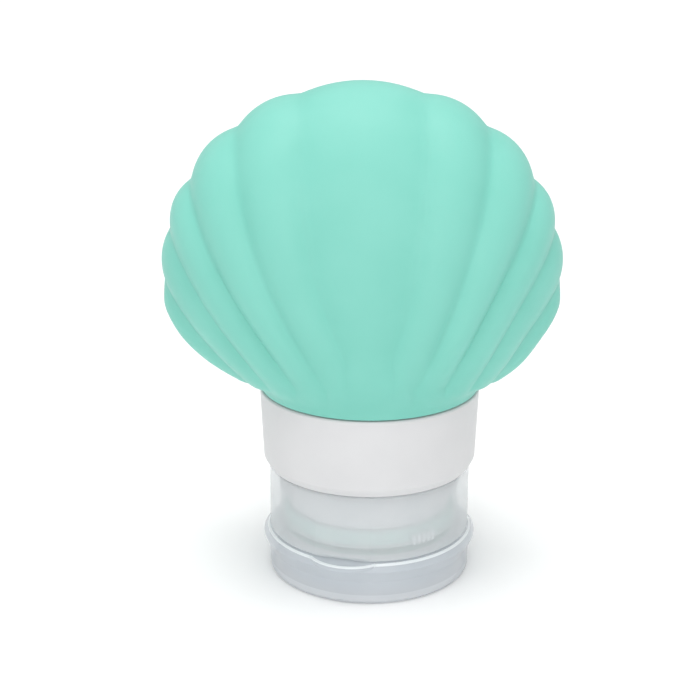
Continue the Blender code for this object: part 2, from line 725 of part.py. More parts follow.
def build():
    """Make every piece and hang it where it belongs."""
    bottle_axis = frame_empty("bottle_axis", None, (0.0, 0.0, 0.0))
    for make in (make_body, make_neck_insert, make_collar):
        carry(make(), bottle_axis)
    cap_axis = frame_empty("cap_axis", None, (0.0, 0.0, 0.0), math.radians(CAP_YAW_DEGREES))
    for make in (make_gasket, make_valve, make_retainer, make_cap_base):
        carry(make(), cap_axis)
    hinge_place = (0.0, HINGE_BACK, HINGE_UP)
    hinge_axis = frame_empty("hinge_axis", cap_axis, hinge_place)
    lid = make_lid()
    combine(lid, make_thumb_lip(), "UNION")
    add_lid_hinge(lid)
    carry(lid, hinge_axis, hinge_place)
    for cutter in CUTTERS.objects:
        cutter.parent = cap_axis
    bpy.context.view_layer.update()


build()
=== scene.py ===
"""Looks of a shell-shaped travel bottle that stands on its flip-top cap.

Metres, +Z up, origin at the centre of the lid's underside, front of the shell towards -Y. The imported
model is the fixed frame. Each sub-assembly below is a class with its sizes, its meshes and its finishes.
"""

import logging
import math
from collections.abc import Callable
from dataclasses import dataclass
from dataclasses import field
from enum import Enum

import bmesh
import bpy
from mathutils import Matrix
from mathutils import Vector


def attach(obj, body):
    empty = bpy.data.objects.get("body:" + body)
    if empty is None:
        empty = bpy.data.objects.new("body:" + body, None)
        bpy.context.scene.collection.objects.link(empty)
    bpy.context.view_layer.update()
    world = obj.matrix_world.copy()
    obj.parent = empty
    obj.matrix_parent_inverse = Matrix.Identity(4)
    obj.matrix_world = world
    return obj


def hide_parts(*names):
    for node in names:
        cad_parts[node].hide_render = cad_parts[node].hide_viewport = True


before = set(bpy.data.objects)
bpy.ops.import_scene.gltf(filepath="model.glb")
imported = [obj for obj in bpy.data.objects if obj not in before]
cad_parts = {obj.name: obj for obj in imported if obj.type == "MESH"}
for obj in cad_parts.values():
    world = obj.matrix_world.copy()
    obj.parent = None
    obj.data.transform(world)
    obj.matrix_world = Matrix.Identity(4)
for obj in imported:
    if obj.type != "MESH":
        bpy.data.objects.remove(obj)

LOG = logging.getLogger("travel_bottle")
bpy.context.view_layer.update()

Corner = tuple[float, float, float]
Place = tuple[float, float, float]
Colour = tuple[float, float, float]
Point = tuple[float, float]
Span = tuple[float, float]
Material = bpy.types.Material
Mesh = bpy.types.Mesh
Object = bpy.types.Object
Socket = bpy.types.NodeSocket

# Edge radii of the mouldings, in metres
CRISP = 0.0
TRACE = 0.0001
FINE = 0.0002
EASED = 0.0003
SOFT = 0.0004
FULL = 0.0005

# Tolerances of the mesh work, in metres
AXIS = 1e-7
NEAR = 0.0001
SLIVER = 0.000005

SIDES = {"left": -1.0, "right": 1.0}


class Body(Enum):
    """The moving bodies that a piece can ride on."""

    CAP = "cap"
    SEAL = "seal"
    BOTTLE = "bottle"
    LID = "lid"


class Slot(Enum):
    """The record's material slots."""

    MINT = "mint_silicone"
    WHITE = "white_plastic"
    FROSTED = "frosted_plastic"
    CLEAR = "clear_silicone"


class Work(Enum):
    """What a tool solid does to the mesh it meets."""

    JOIN = "UNION"
    CUT = "DIFFERENCE"


@dataclass(frozen=True)
class Levels:
    """Sizes that several sub-assemblies share, in metres."""

    gap: float = 0.0003
    parting: float = 0.0090
    deck_top: float = 0.0106
    gasket_top: float = 0.0136
    neck_rim: float = 0.0139
    cap_top: float = 0.0223
    collar_foot: float = 0.0226
    collar_top: float = 0.0382
    mouth: float = 0.0385
    neck_radius: float = 0.0160
    neck_bore: float = 0.0140
    sleeve_radius: float = 0.0185
    silicone_wall: float = 0.0020
    cap_radius: float = 0.0198
    cap_bore: float = 0.0177
    nozzle_bore: float = 0.0037
    thread_pitch: float = 0.0030
    thread_depth: float = 0.0012
    cap_yaw: float = math.radians(-16.0)
    hinge_back: float = 0.0216
    hinge_up: float = 0.00885
    pintle_radius: float = 0.0008
    ear_radius: float = 0.0019
    ear_thickness: float = 0.0024
    root_overlap: float = 0.0004
    tool_spare: float = 0.001

    def in_cap_frame(self) -> Matrix:
        """Turn from the cap's own frame to the world."""
        return Matrix.Rotation(self.cap_yaw, 4, "Z")

    def hinge(self) -> Point:
        """The lid's axis as back and up, in the cap's own frame."""
        return (self.hinge_back, self.hinge_up)


LEVELS = Levels()


# Node trees


class NodeSheet:
    """A node tree under construction, with short calls for its nodes."""

    def __init__(self, tree: bpy.types.NodeTree) -> None:
        """Work on this tree."""
        self.tree = tree

    def feed(self, entry: Socket, value: object) -> None:
        """Put a constant, a term or a socket into an input.

        Args:
            entry: the input socket.
            value: what goes in.
        """
        if isinstance(value, Term):
            value = value.socket
        if isinstance(value, Socket):
            self.tree.links.new(value, entry)
        else:
            entry.default_value = value

    def node(
        self, kind: str, inputs: dict[str | int, object] | None = None, **settings: object
    ) -> bpy.types.Node:
        """Add a node.

        Args:
            kind: the node's type name.
            inputs: socket names and what goes in, a constant, a term or a socket.
            **settings: the node's own properties.

        Returns:
            The node.
        """
        node = self.tree.nodes.new(kind)
        for name, value in settings.items():
            setattr(node, name, value)
        for name, value in (inputs or {}).items():
            self.feed(node.inputs[name], value)
        return node

    def flow(self, kind: str, inputs: dict[str | int, object] | None = None, **settings: object) -> Socket:
        """Add a node, as above, and take its first output."""
        return self.node(kind, inputs, **settings).outputs[0]


class ShaderSheet(NodeSheet):
    """A material under construction."""

    def __init__(self, name: str) -> None:
        """Start a node material.

        Args:
            name: the material's name.
        """
        self.material = bpy.data.materials.new(name)
        self.material.use_nodes = True
        super().__init__(self.material.node_tree)
        self.shader = self.tree.nodes["Principled BSDF"]
        self.place = self.node("ShaderNodeTexCoord").outputs["Object"]

    def set(self, **values: float | tuple[float, ...] | Socket) -> None:
        """Set the shader's own sockets.

        Args:
            **values: socket names with underscores for spaces, and what goes in.
        """
        for name, value in values.items():
            self.feed(self.shader.inputs[name.replace("_", " ")], value)

    def noise(self, cells: float, octaves: float = 3.0) -> Socket:
        """Smooth noise in object space, about 0.5 on average, with this many cells in a metre."""
        return self.flow("ShaderNodeTexNoise", {"Vector": self.place, "Scale": cells, "Detail": octaves})

    def spread(self, value: Socket, low: float, high: float, source: Span = (0.3, 0.7)) -> Socket:
        """Map a value from one range to another.

        Args:
            value: the incoming socket.
            low: result at the start of the range.
            high: result at its end.
            source: the incoming range.

        Returns:
            The mapped value's socket.
        """
        return self.flow(
            "ShaderNodeMapRange",
            {"Value": value, "From Min": source[0], "From Max": source[1], "To Min": low, "To Max": high},
        )

    def blend(self, share: Socket, first: Colour | Socket, second: Colour | Socket) -> Socket:
        """Mix two colours.

        Args:
            share: 0 for the first colour, 1 for the second.
            first: a colour or a colour socket.
            second: a colour or a colour socket.

        Returns:
            The mixed colour's socket.
        """
        node = self.node("ShaderNodeMix", {"Factor": share}, data_type="RGBA")
        # A Mix node has its two colours at 6 and 7, and their mix at 2
        for entry, colour in ((node.inputs[6], first), (node.inputs[7], second)):
            self.feed(entry, (*colour, 1.0) if isinstance(colour, tuple) else colour)
        return node.outputs[2]

    def relief(self, layers: list[tuple[Socket, float]]) -> None:
        """Stack bumps on the shader's normal.

        Args:
            layers: height sockets, each with the depth in metres of its full swing.
        """
        under: dict[str, Socket] = {}
        for height, depth in layers:
            inputs = {"Height": height, "Strength": 1.0, "Distance": depth, **under}
            under = {"Normal": self.flow("ShaderNodeBump", inputs)}
        self.set(**under)


@dataclass(frozen=True)
class Finish:
    """What the moulded finishes have in common: two mottled colours and a patchy gloss."""

    name: str
    dark: Colour
    light: Colour
    mottle_cells: float
    gloss_cells: float
    gloss_octaves: float = 3.0
    low_roughness: float = 0.34
    high_roughness: float = 0.44

    def material(self) -> Material:
        """Build the material.

        Returns:
            The finished material.
        """
        sheet = ShaderSheet(self.name)
        gloss = sheet.noise(self.gloss_cells, self.gloss_octaves)
        roughness = sheet.spread(gloss, self.low_roughness, self.high_roughness)
        sheet.set(Base_Color=self.colour(sheet), Roughness=roughness)
        self.dress(sheet)
        return sheet.material

    def colour(self, sheet: ShaderSheet) -> Socket:
        """The two colours in soft patches."""
        return sheet.blend(sheet.spread(sheet.noise(self.mottle_cells), 0.0, 1.0), self.dark, self.light)

    def dress(self, sheet: ShaderSheet) -> None:
        """Add what only this finish has."""
        raise NotImplementedError


@dataclass(frozen=True)
class MintSilicone(Finish):
    """Matte mint silicone with a soft skin, a faint mottle and a painted highlight that makes the crests of
    the ribs paler.
    """

    name: str = "mint_silicone_skin"
    dark: Colour = (0.190, 0.548, 0.460)
    light: Colour = (0.210, 0.574, 0.486)
    mottle_cells: float = 90.0
    gloss_cells: float = 700.0
    low_roughness: float = 0.40
    high_roughness: float = 0.48
    # Colour of the painted highlight on the crests of the ribs
    crest: Colour = (0.230, 0.599, 0.509)
    highlight_share: float = 0.6
    full_rise: float = 0.0012
    grain_cells: float = 5200.0
    grain_octaves: float = 2.0
    grain_depth: float = 0.000012
    swell_cells: float = 240.0
    swell_depth: float = 0.00004
    paints_crest_highlight: bool = True

    def colour(self, sheet: ShaderSheet) -> Socket:
        """The two colours in soft patches, with a painted highlight that makes the crests of the ribs paler.

        Args:
            sheet: the material under construction.

        Returns:
            The colour's socket.
        """
        mottle = super().colour(sheet)
        if not self.paints_crest_highlight:
            return mottle
        # Painted highlight: the colour turns paler as the rib rises towards its crest
        rise = sheet.node("ShaderNodeAttribute", attribute_name="rib_rise").outputs["Fac"]
        highlight_mix = sheet.spread(rise, 0.0, self.highlight_share, (0.0, self.full_rise))
        return sheet.blend(highlight_mix, mottle, self.crest)

    def dress(self, sheet: ShaderSheet) -> None:
        """Add the skin's grain, its slow swells and the glow under it.

        Args:
            sheet: the material under construction.
        """
        grain = sheet.noise(self.grain_cells, self.grain_octaves)
        sheet.relief([(grain, self.grain_depth), (sheet.noise(self.swell_cells), self.swell_depth)])
        sheet.set(
            Subsurface_Weight=0.20,
            Subsurface_Radius=(0.8, 1.0, 0.9),
            Subsurface_Scale=0.0015,
            IOR=1.42,
            Specular_IOR_Level=0.30,
        )


@dataclass(frozen=True)
class WhitePlastic(Finish):
    """Satin white moulding with a fine spark-eroded grain."""

    name: str = "white_moulding"
    dark: Colour = (0.622, 0.622, 0.632)
    light: Colour = (0.645, 0.645, 0.654)
    mottle_cells: float = 120.0
    gloss_cells: float = 900.0
    grain_cells: float = 4200.0
    grain_octaves: float = 2.0
    grain_depth: float = 0.000006

    def dress(self, sheet: ShaderSheet) -> None:
        """Add the grain and a little light under the surface."""
        sheet.relief([(sheet.noise(self.grain_cells, self.grain_octaves), self.grain_depth)])
        sheet.set(IOR=1.49, Subsurface_Weight=0.10, Subsurface_Radius=(1.0, 1.0, 1.0), Subsurface_Scale=0.001)


@dataclass(frozen=True)
class FrostedPlastic(Finish):
    """Translucent frosted moulding that lets what is behind it show through."""

    name: str = "frosted_moulding"
    dark: Colour = (0.775, 0.810, 0.835)
    light: Colour = (0.815, 0.842, 0.862)
    mottle_cells: float = 160.0
    gloss_cells: float = 60.0
    gloss_octaves: float = 1.0
    low_roughness: float = 0.30
    high_roughness: float = 0.34
    opacity: float = 0.46
    sheen: float = 0.15

    def dress(self, sheet: ShaderSheet) -> None:
        """Let what is behind show through, under a soft bloom."""
        sheet.set(IOR=1.49, Alpha=self.opacity, Sheen_Weight=self.sheen, Sheen_Roughness=0.5)


@dataclass(frozen=True)
class FloorPaint:
    """Plain pale studio floor."""

    name: str = "pale_floor"
    shade: float = 0.92

    def material(self) -> Material:
        """Build the material.

        Returns:
            The finished material.
        """
        sheet = ShaderSheet(self.name)
        tone = (self.shade, self.shade, self.shade)
        sheet.set(Base_Color=(*tone, 1.0), Roughness=0.7, Specular_IOR_Level=0.2)
        return sheet.material


class Finishes:
    """Every finish of the bottle, made once."""

    def __init__(self) -> None:
        """Make the materials."""
        self.mint = MintSilicone().material()
        self.mint_ring = MintSilicone(name="mint_silicone_ring", paints_crest_highlight=False).material()
        self.white = WhitePlastic().material()
        self.frosted = FrostedPlastic().material()
        self.clear = FrostedPlastic(name="clear_silicone_skin", opacity=0.45, high_roughness=0.40).material()
        # A darker, bluer copy of the frosted finish for the lid: painted shade of its dim hollow seen through
        # the wall
        self.frosted_lid_painted_shade = FrostedPlastic(
            "frosted_lid_painted_shade", (0.680, 0.730, 0.785), (0.715, 0.760, 0.810), opacity=0.48, sheen=0.35
        ).material()
        # A brighter, more opaque copy of the frosted finish: a painted highlight for the lid's top edge, the
        # lip's rim and the lock teeth
        self.painted_highlight_edge = FrostedPlastic(
            "frosted_painted_highlight_edge", (0.795, 0.845, 0.860), (0.825, 0.870, 0.885), opacity=0.80
        ).material()
        # A mint copy of the frosted finish for the deck: painted glow of the mint gasket's light in the
        # plastic
        self.painted_mint_glow = FrostedPlastic(
            "frosted_painted_mint_glow", (0.500, 0.745, 0.690), (0.530, 0.770, 0.715), opacity=0.62
        ).material()
        # A lighter copy of the frosted lid finish: painted light on a band at the lid's foot
        self.painted_light_band = FrostedPlastic(
            "frosted_painted_light_band", (0.735, 0.782, 0.830), (0.765, 0.808, 0.852), opacity=0.53
        ).material()
        self.floor = FloorPaint().material()


class Recipe(NodeSheet):
    """A geometry node tree with named sizes, run once and kept as a plain mesh."""

    def __init__(self, name: str) -> None:
        """Start an empty tree.

        Args:
            name: the tree's name.
        """
        super().__init__(bpy.data.node_groups.new(name, "GeometryNodeTree"))
        self.tree.interface.new_socket("Geometry", in_out="OUTPUT", socket_type="NodeSocketGeometry")
        self.entry = self.tree.nodes.new("NodeGroupInput")
        self.exit = self.tree.nodes.new("NodeGroupOutput")
        self.values: dict[str, float | int] = {}

    def named(self, name: str, value: float | int, kind: str) -> "Term":
        """Add a named number to the tree's inputs.

        Args:
            name: the input's name.
            value: its value for this run.
            kind: its socket type.

        Returns:
            The input as a term.
        """
        socket = self.tree.interface.new_socket(name, in_out="INPUT", socket_type=kind)
        self.values[socket.identifier] = value
        return Term(self, self.entry.outputs[name])

    def size(self, name: str, value: float) -> "Term":
        """Add a named size or share to the tree's inputs."""
        return self.named(name, float(value), "NodeSocketFloat")

    def count(self, name: str, value: int) -> "Term":
        """Add a named whole number to the tree's inputs."""
        return self.named(name, int(value), "NodeSocketInt")

    def math(self, operation: str, *terms: object, clamp: bool = False) -> "Term":
        """One step of arithmetic.

        Args:
            operation: the Math node's operation.
            *terms: its operands.
            clamp: keep the result between 0 and 1.

        Returns:
            The result.
        """
        inputs = dict(enumerate(terms))
        return Term(self, self.flow("ShaderNodeMath", inputs, operation=operation, use_clamp=clamp))

    def table(self, place: "Term", keys: list[float], values: list[float]) -> "Term":
        """Straight interpolation in a table, through a curve node.

        Args:
            place: the value looked up.
            keys: rising places, the first of them 0.
            values: what the table holds there, none below 0.

        Returns:
            The value at the place.
        """
        node = self.tree.nodes.new("ShaderNodeFloatCurve")
        points = node.mapping.curves[0].points
        top = max(values)
        shares = [(key / keys[-1], value / top) for key, value in zip(keys, values)]
        points[0].location = shares[0]
        points[1].location = shares[-1]
        for share in shares[1:-1]:
            points.new(*share)
        for point in points:
            point.handle_type = "VECTOR"
        node.mapping.update()
        self.feed(node.inputs["Value"], place / keys[-1])
        return Term(self, node.outputs[0]) * top

    def pick(self, index: "Term", values: list[float]) -> "Term":
        """Choose from a list by a whole number.

        Args:
            index: which one, from 0.
            values: the list.

        Returns:
            The chosen value.
        """
        node = self.node("GeometryNodeIndexSwitch", {"Index": index}, data_type="FLOAT")
        while len(node.index_switch_items) < len(values):
            node.index_switch_items.new()
        for entry, value in zip(node.inputs[1:], values):
            entry.default_value = value
        return Term(self, node.outputs[0])

    def vector(self, across: object, deep: object, up: object) -> Socket:
        """Join three numbers into a vector."""
        return self.flow("ShaderNodeCombineXYZ", {"X": across, "Y": deep, "Z": up})

    def split(self, vector: Socket) -> tuple["Term", ...]:
        """Take a vector apart."""
        return tuple(Term(self, part) for part in self.node("ShaderNodeSeparateXYZ", {0: vector}).outputs)

    def run(self, name: str, geometry: Socket, finish: Material) -> Object:
        """End the tree, evaluate it and keep its result.

        Args:
            name: the finished piece's name.
            geometry: the last geometry socket.
            finish: the piece's material.

        Returns:
            A mesh object with no modifiers.
        """
        whole = self.flow("GeometryNodeRealizeInstances", {"Geometry": geometry})
        dressed = self.flow("GeometryNodeSetMaterial", {"Geometry": whole, "Material": finish})
        self.tree.links.new(dressed, self.exit.inputs["Geometry"])
        host = add_object(name, bpy.data.meshes.new(name + "_seed"))
        modifier = host.modifiers.new("recipe", "NODES")
        modifier.node_group = self.tree
        for identifier, value in self.values.items():
            modifier[identifier] = value
        mesh = evaluated_mesh(host, name)
        coat(mesh, finish)
        host.modifiers.clear()
        host.data = mesh
        return host


class Term:
    """A number in a recipe, used with ordinary arithmetic signs."""

    def __init__(self, recipe: Recipe, socket: Socket) -> None:
        """Wrap a recipe's output socket."""
        self.recipe = recipe
        self.socket = socket

    def __add__(self, other: object) -> "Term":
        """Sum."""
        return self.recipe.math("ADD", self, other)

    def __radd__(self, other: object) -> "Term":
        """Sum, from the right."""
        return self.recipe.math("ADD", other, self)

    def __sub__(self, other: object) -> "Term":
        """Difference."""
        return self.recipe.math("SUBTRACT", self, other)

    def __rsub__(self, other: object) -> "Term":
        """Difference, from the right."""
        return self.recipe.math("SUBTRACT", other, self)

    def __mul__(self, other: object) -> "Term":
        """Product."""
        return self.recipe.math("MULTIPLY", self, other)

    def __rmul__(self, other: object) -> "Term":
        """Product, from the right."""
        return self.recipe.math("MULTIPLY", other, self)

    def __truediv__(self, other: object) -> "Term":
        """Quotient."""
        return self.recipe.math("DIVIDE", self, other)

    def __pow__(self, other: object) -> "Term":
        """Power of a number that is not below 0."""
        return self.recipe.math("POWER", self, other)

    def size(self) -> "Term":
        """Absolute value."""
        return self.recipe.math("ABSOLUTE", self)

    def sign(self) -> "Term":
        """-1, 0 or 1."""
        return self.recipe.math("SIGN", self)

    def sine(self) -> "Term":
        """Sine."""
        return self.recipe.math("SINE", self)

    def cosine(self) -> "Term":
        """Cosine."""
        return self.recipe.math("COSINE", self)

    def root(self) -> "Term":
        """Square root."""
        return self.recipe.math("SQRT", self)

    def radians(self) -> "Term":
        """Degrees to radians."""
        return self.recipe.math("RADIANS", self)

    def floor(self) -> "Term":
        """Whole number below."""
        return self.recipe.math("FLOOR", self)

    def least(self, other: object) -> "Term":
        """The smaller of two."""
        return self.recipe.math("MINIMUM", self, other)

    def most(self, other: object) -> "Term":
        """The larger of two."""
        return self.recipe.math("MAXIMUM", self, other)

    def below(self, other: object) -> "Term":
        """1 where this is the smaller, else 0."""
        return self.recipe.math("LESS_THAN", self, other)

    def held(self) -> "Term":
        """Kept between 0 and 1."""
        return self.recipe.math("ADD", self, 0.0, clamp=True)

    def ease(self) -> "Term":
        """A soft step from 0 to 1."""
        share = self.held()
        return share * share * (3.0 - 2.0 * share)

    def toward(self, other: object, share: object) -> "Term":
        """Part of the way to another value."""
        return self + (other - self) * share


# Mesh helpers


def rounded(corners: list[Corner], closed: bool = True, steps: int = 5) -> list[Point]:
    """Round the corners of an outline.

    Args:
        corners: radius, height and fillet of each corner.
        closed: whether the last corner joins the first.
        steps: facets in each fillet.

    Returns:
        The outline's points as radius and height.
    """
    points: list[Point] = []
    count = len(corners)
    for index, (across, up, fillet) in enumerate(corners):
        at_end = not closed and index in (0, count - 1)
        if fillet <= 0.0 or at_end:
            points.append((across, up))
            continue
        here = Vector((across, up))
        before = (Vector(corners[index - 1][:2]) - here).normalized()
        after = (Vector(corners[(index + 1) % count][:2]) - here).normalized()
        half = before.angle(after) / 2.0
        centre = here + (before + after).normalized() * (fillet / math.sin(half))
        start = here + before * (fillet / math.tan(half)) - centre
        stop = here + after * (fillet / math.tan(half)) - centre
        first = math.atan2(start.y, start.x)
        swing = (math.atan2(stop.y, stop.x) - first + math.pi) % math.tau - math.pi
        for step in range(steps + 1):
            angle = first + swing * step / steps
            points.append((centre.x + fillet * math.cos(angle), centre.y + fillet * math.sin(angle)))
    return points


def arc(centre: Point, radius: float, first: float, last: float, steps: int = 24) -> list[Point]:
    """Points on a circle in the plane of back and up.

    Args:
        centre: the circle's centre.
        radius: its radius.
        first: first angle in degrees, from the back upward.
        last: last angle in degrees.
        steps: facets.

    Returns:
        The points.
    """
    points = []
    for step in range(steps + 1):
        angle = math.radians(first + (last - first) * step / steps)
        points.append((centre[0] + radius * math.cos(angle), centre[1] + radius * math.sin(angle)))
    return points


def circle(centre: Point, radius: float, sides: int = 48) -> list[Point]:
    """Points on a whole circle in the plane of back and up."""
    return arc(centre, radius, 0.0, 360.0 - 360.0 / sides, sides - 1)


def rectangle(near: float, far: float, first: float, last: float) -> list[Point]:
    """Corners of an upright rectangle, from near to far and from the first height to the last."""
    return [(near, first), (far, first), (far, last), (near, last)]


def keep_outward(solid: bmesh.types.BMesh, mesh: Mesh) -> Mesh:
    """Write a closed solid to a mesh with its faces outward.

    Args:
        solid: the solid, used up here; a flat sheet at height 0 is written as it is.
        mesh: where it goes.

    Returns:
        The same mesh.
    """
    if solid.calc_volume(signed=True) < 0.0:
        bmesh.ops.reverse_faces(solid, faces=solid.faces)
    solid.to_mesh(mesh)
    solid.free()
    return mesh


def lathe(name: str, outline: list[Point], sides: int = 160) -> Mesh:
    """Turn an outline about Z into a closed mesh.

    Args:
        name: the mesh's name.
        outline: points as radius and height; a first and last point on the axis become poles, and any
            other outline is closed on itself.
        sides: facets round the axis.

    Returns:
        The mesh.
    """
    solid = bmesh.new()
    rings: list[list[bmesh.types.BMVert]] = []
    for across, up in outline:
        turns = [0.0] if across < AXIS else [math.tau * side / sides for side in range(sides)]
        ring = [(across * math.cos(turn), across * math.sin(turn), up) for turn in turns]
        rings.append([solid.verts.new(place) for place in ring])
    poles = len(rings[0]) == 1 and len(rings[-1]) == 1
    pairs = list(zip(rings, rings[1:]))
    if not poles:
        pairs.append((rings[-1], rings[0]))
    for lower, upper in pairs:
        for side in range(sides):
            following = (side + 1) % sides
            corners = [
                lower[side % len(lower)],
                lower[following % len(lower)],
                upper[following % len(upper)],
                upper[side % len(upper)],
            ]
            unique = list(dict.fromkeys(corners))
            if len(unique) > 2:
                solid.faces.new(unique)
    return keep_outward(solid, bpy.data.meshes.new(name))


def prism(name: str, outline: list[Point], near: float, far: float) -> Mesh:
    """Extend a flat outline along X.

    Args:
        name: the mesh's name.
        outline: points as back and up.
        near: X of one end.
        far: X of the other end.

    Returns:
        A closed mesh.
    """
    solid = bmesh.new()
    ends = [[solid.verts.new((across, back, up)) for back, up in outline] for across in sorted((near, far))]
    for index in range(len(outline)):
        following = (index + 1) % len(outline)
        solid.faces.new((ends[0][index], ends[0][following], ends[1][following], ends[1][index]))
    solid.faces.new(ends[0][::-1])
    solid.faces.new(ends[1])
    return keep_outward(solid, bpy.data.meshes.new(name))


def prism_pair(name: str, outline: list[Point], near: float, far: float) -> list[Mesh]:
    """The same prism on the left and on the right, between two distances from the middle."""
    return [prism(f"{name}_{side}", outline, sign * near, sign * far) for side, sign in SIDES.items()]


def add_object(name: str, data: bpy.types.ID) -> Object:
    """Put a new object in the scene.

    Args:
        name: its name.
        data: its mesh, light or camera.

    Returns:
        The object.
    """
    added = bpy.data.objects.new(name, data)
    bpy.context.scene.collection.objects.link(added)
    return added


def evaluated_mesh(host: Object, name: str) -> Mesh:
    """Apply an object's modifiers.

    Args:
        host: the object, left as it is.
        name: the new mesh's name.

    Returns:
        What the modifiers make of it.
    """
    bpy.context.view_layer.update()
    evaluated = host.evaluated_get(bpy.context.evaluated_depsgraph_get())
    mesh = bpy.data.meshes.new_from_object(evaluated)
    mesh.name = name
    return mesh


def worked(mesh: Mesh, tools: list[tuple[Mesh, Work]]) -> Mesh:
    """Join tool solids to a mesh, or cut them from it, in order.

    Args:
        mesh: the base mesh.
        tools: the tool solids, each with what it does.

    Returns:
        The new mesh.
    """
    host = add_object(mesh.name + "_host", mesh)
    helpers = []
    for tool, work in tools:
        helpers.append(add_object(tool.name, tool))
        step = host.modifiers.new(tool.name, "BOOLEAN")
        step.operation = work.value
        step.solver = "EXACT"
        step.object = helpers[-1]
    result = evaluated_mesh(host, mesh.name)
    for helper in [host, *helpers]:
        bpy.data.objects.remove(helper, do_unlink=True)
    return result


def coat(mesh: Mesh, finish: Material) -> None:
    """Give a mesh one finish all over, in place of the slots that it has."""
    mesh.materials.clear()
    mesh.materials.append(finish)


def soften(mesh: Mesh, sharp_degrees: float = 35.0) -> None:
    """Shade a mesh smooth, but for the edges that bend more than this."""
    mesh.shade_smooth()
    mesh.set_sharp_from_angle(angle=math.radians(sharp_degrees))


def clean_sweep(mesh: Mesh, sharp_degrees: float) -> None:
    """Take the slivers off a swept skin, turn its faces outward and shade it.

    Args:
        mesh: the closed skin.
        sharp_degrees: edges that bend more than this stay crisp.
    """
    solid = bmesh.new()
    solid.from_mesh(mesh)
    bmesh.ops.dissolve_degenerate(solid, dist=SLIVER, edges=solid.edges)
    bmesh.ops.recalc_face_normals(solid, faces=solid.faces)
    open_edges = sum(1 for edge in solid.edges if not edge.is_manifold)
    LOG.info("%s: %d open edges, %.2f ml", mesh.name, open_edges, solid.calc_volume() * 1e6)
    soften(keep_outward(solid, mesh), sharp_degrees)


def piece(name: str, mesh: Mesh, finish: Material, place: Matrix | None = None) -> Object:
    """Make a shown object of a mesh, with its place in the mesh.

    Args:
        name: the object's name.
        mesh: its mesh.
        finish: its material.
        place: turn and move baked into the mesh.

    Returns:
        The object, at the origin.
    """
    if place is not None:
        mesh.transform(place)
    coat(mesh, finish)
    soften(mesh)
    return add_object(name, mesh)


def turned(name: str, corners: list[Corner], finish: Material, steps: int = 5, sides: int = 160) -> Object:
    """Make a shown ring of the corners of its section.

    Args:
        name: the object's name.
        corners: radius, height and fillet of each corner.
        finish: its material.
        steps: facets in each fillet.
        sides: facets round the axis.

    Returns:
        The object.
    """
    return piece(name, lathe(name, rounded(corners, steps=steps), sides), finish)


def dress_faces(
    shown: Object, finishes: list[Material], choose: Callable[[bpy.types.MeshPolygon], int]
) -> None:
    """Give some faces of a piece a finish of their own.

    Args:
        shown: the piece.
        finishes: the other finishes, counted from 1.
        choose: picks a face's finish by number, 0 for the piece's own.
    """
    for finish in finishes:
        shown.data.materials.append(finish)
    for face in shown.data.polygons:
        face.material_index = choose(face)


def settle(shown: Object, body: Body, slot: Slot, *nodes: str) -> None:
    """Hang a finished piece on its body and report it.

    Args:
        shown: the piece.
        body: what it moves with.
        slot: the record's slot of its finish; not used.
        *nodes: CAD nodes that it stands for.
    """
    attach(shown, body.value)
    if nodes:
        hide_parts(*nodes)
    LOG.info("%s rides on %s, %d faces", shown.name, body.value, len(shown.data.polygons))


# Sub-assemblies


@dataclass(frozen=True)
class SkinPlace:
    """Where a point of the flat sheet lies on the shell, as terms of its recipe.

    around is the way round in ribs. rib is 0 at the centre of a face and 5 on the side edge. along is
    below 0 on the sleeve, 0 at the mouth and 1 at the rim. inner is 1 on the inner side, else 0.
    """

    around: Term
    rib: Term
    along: Term
    inner: Term


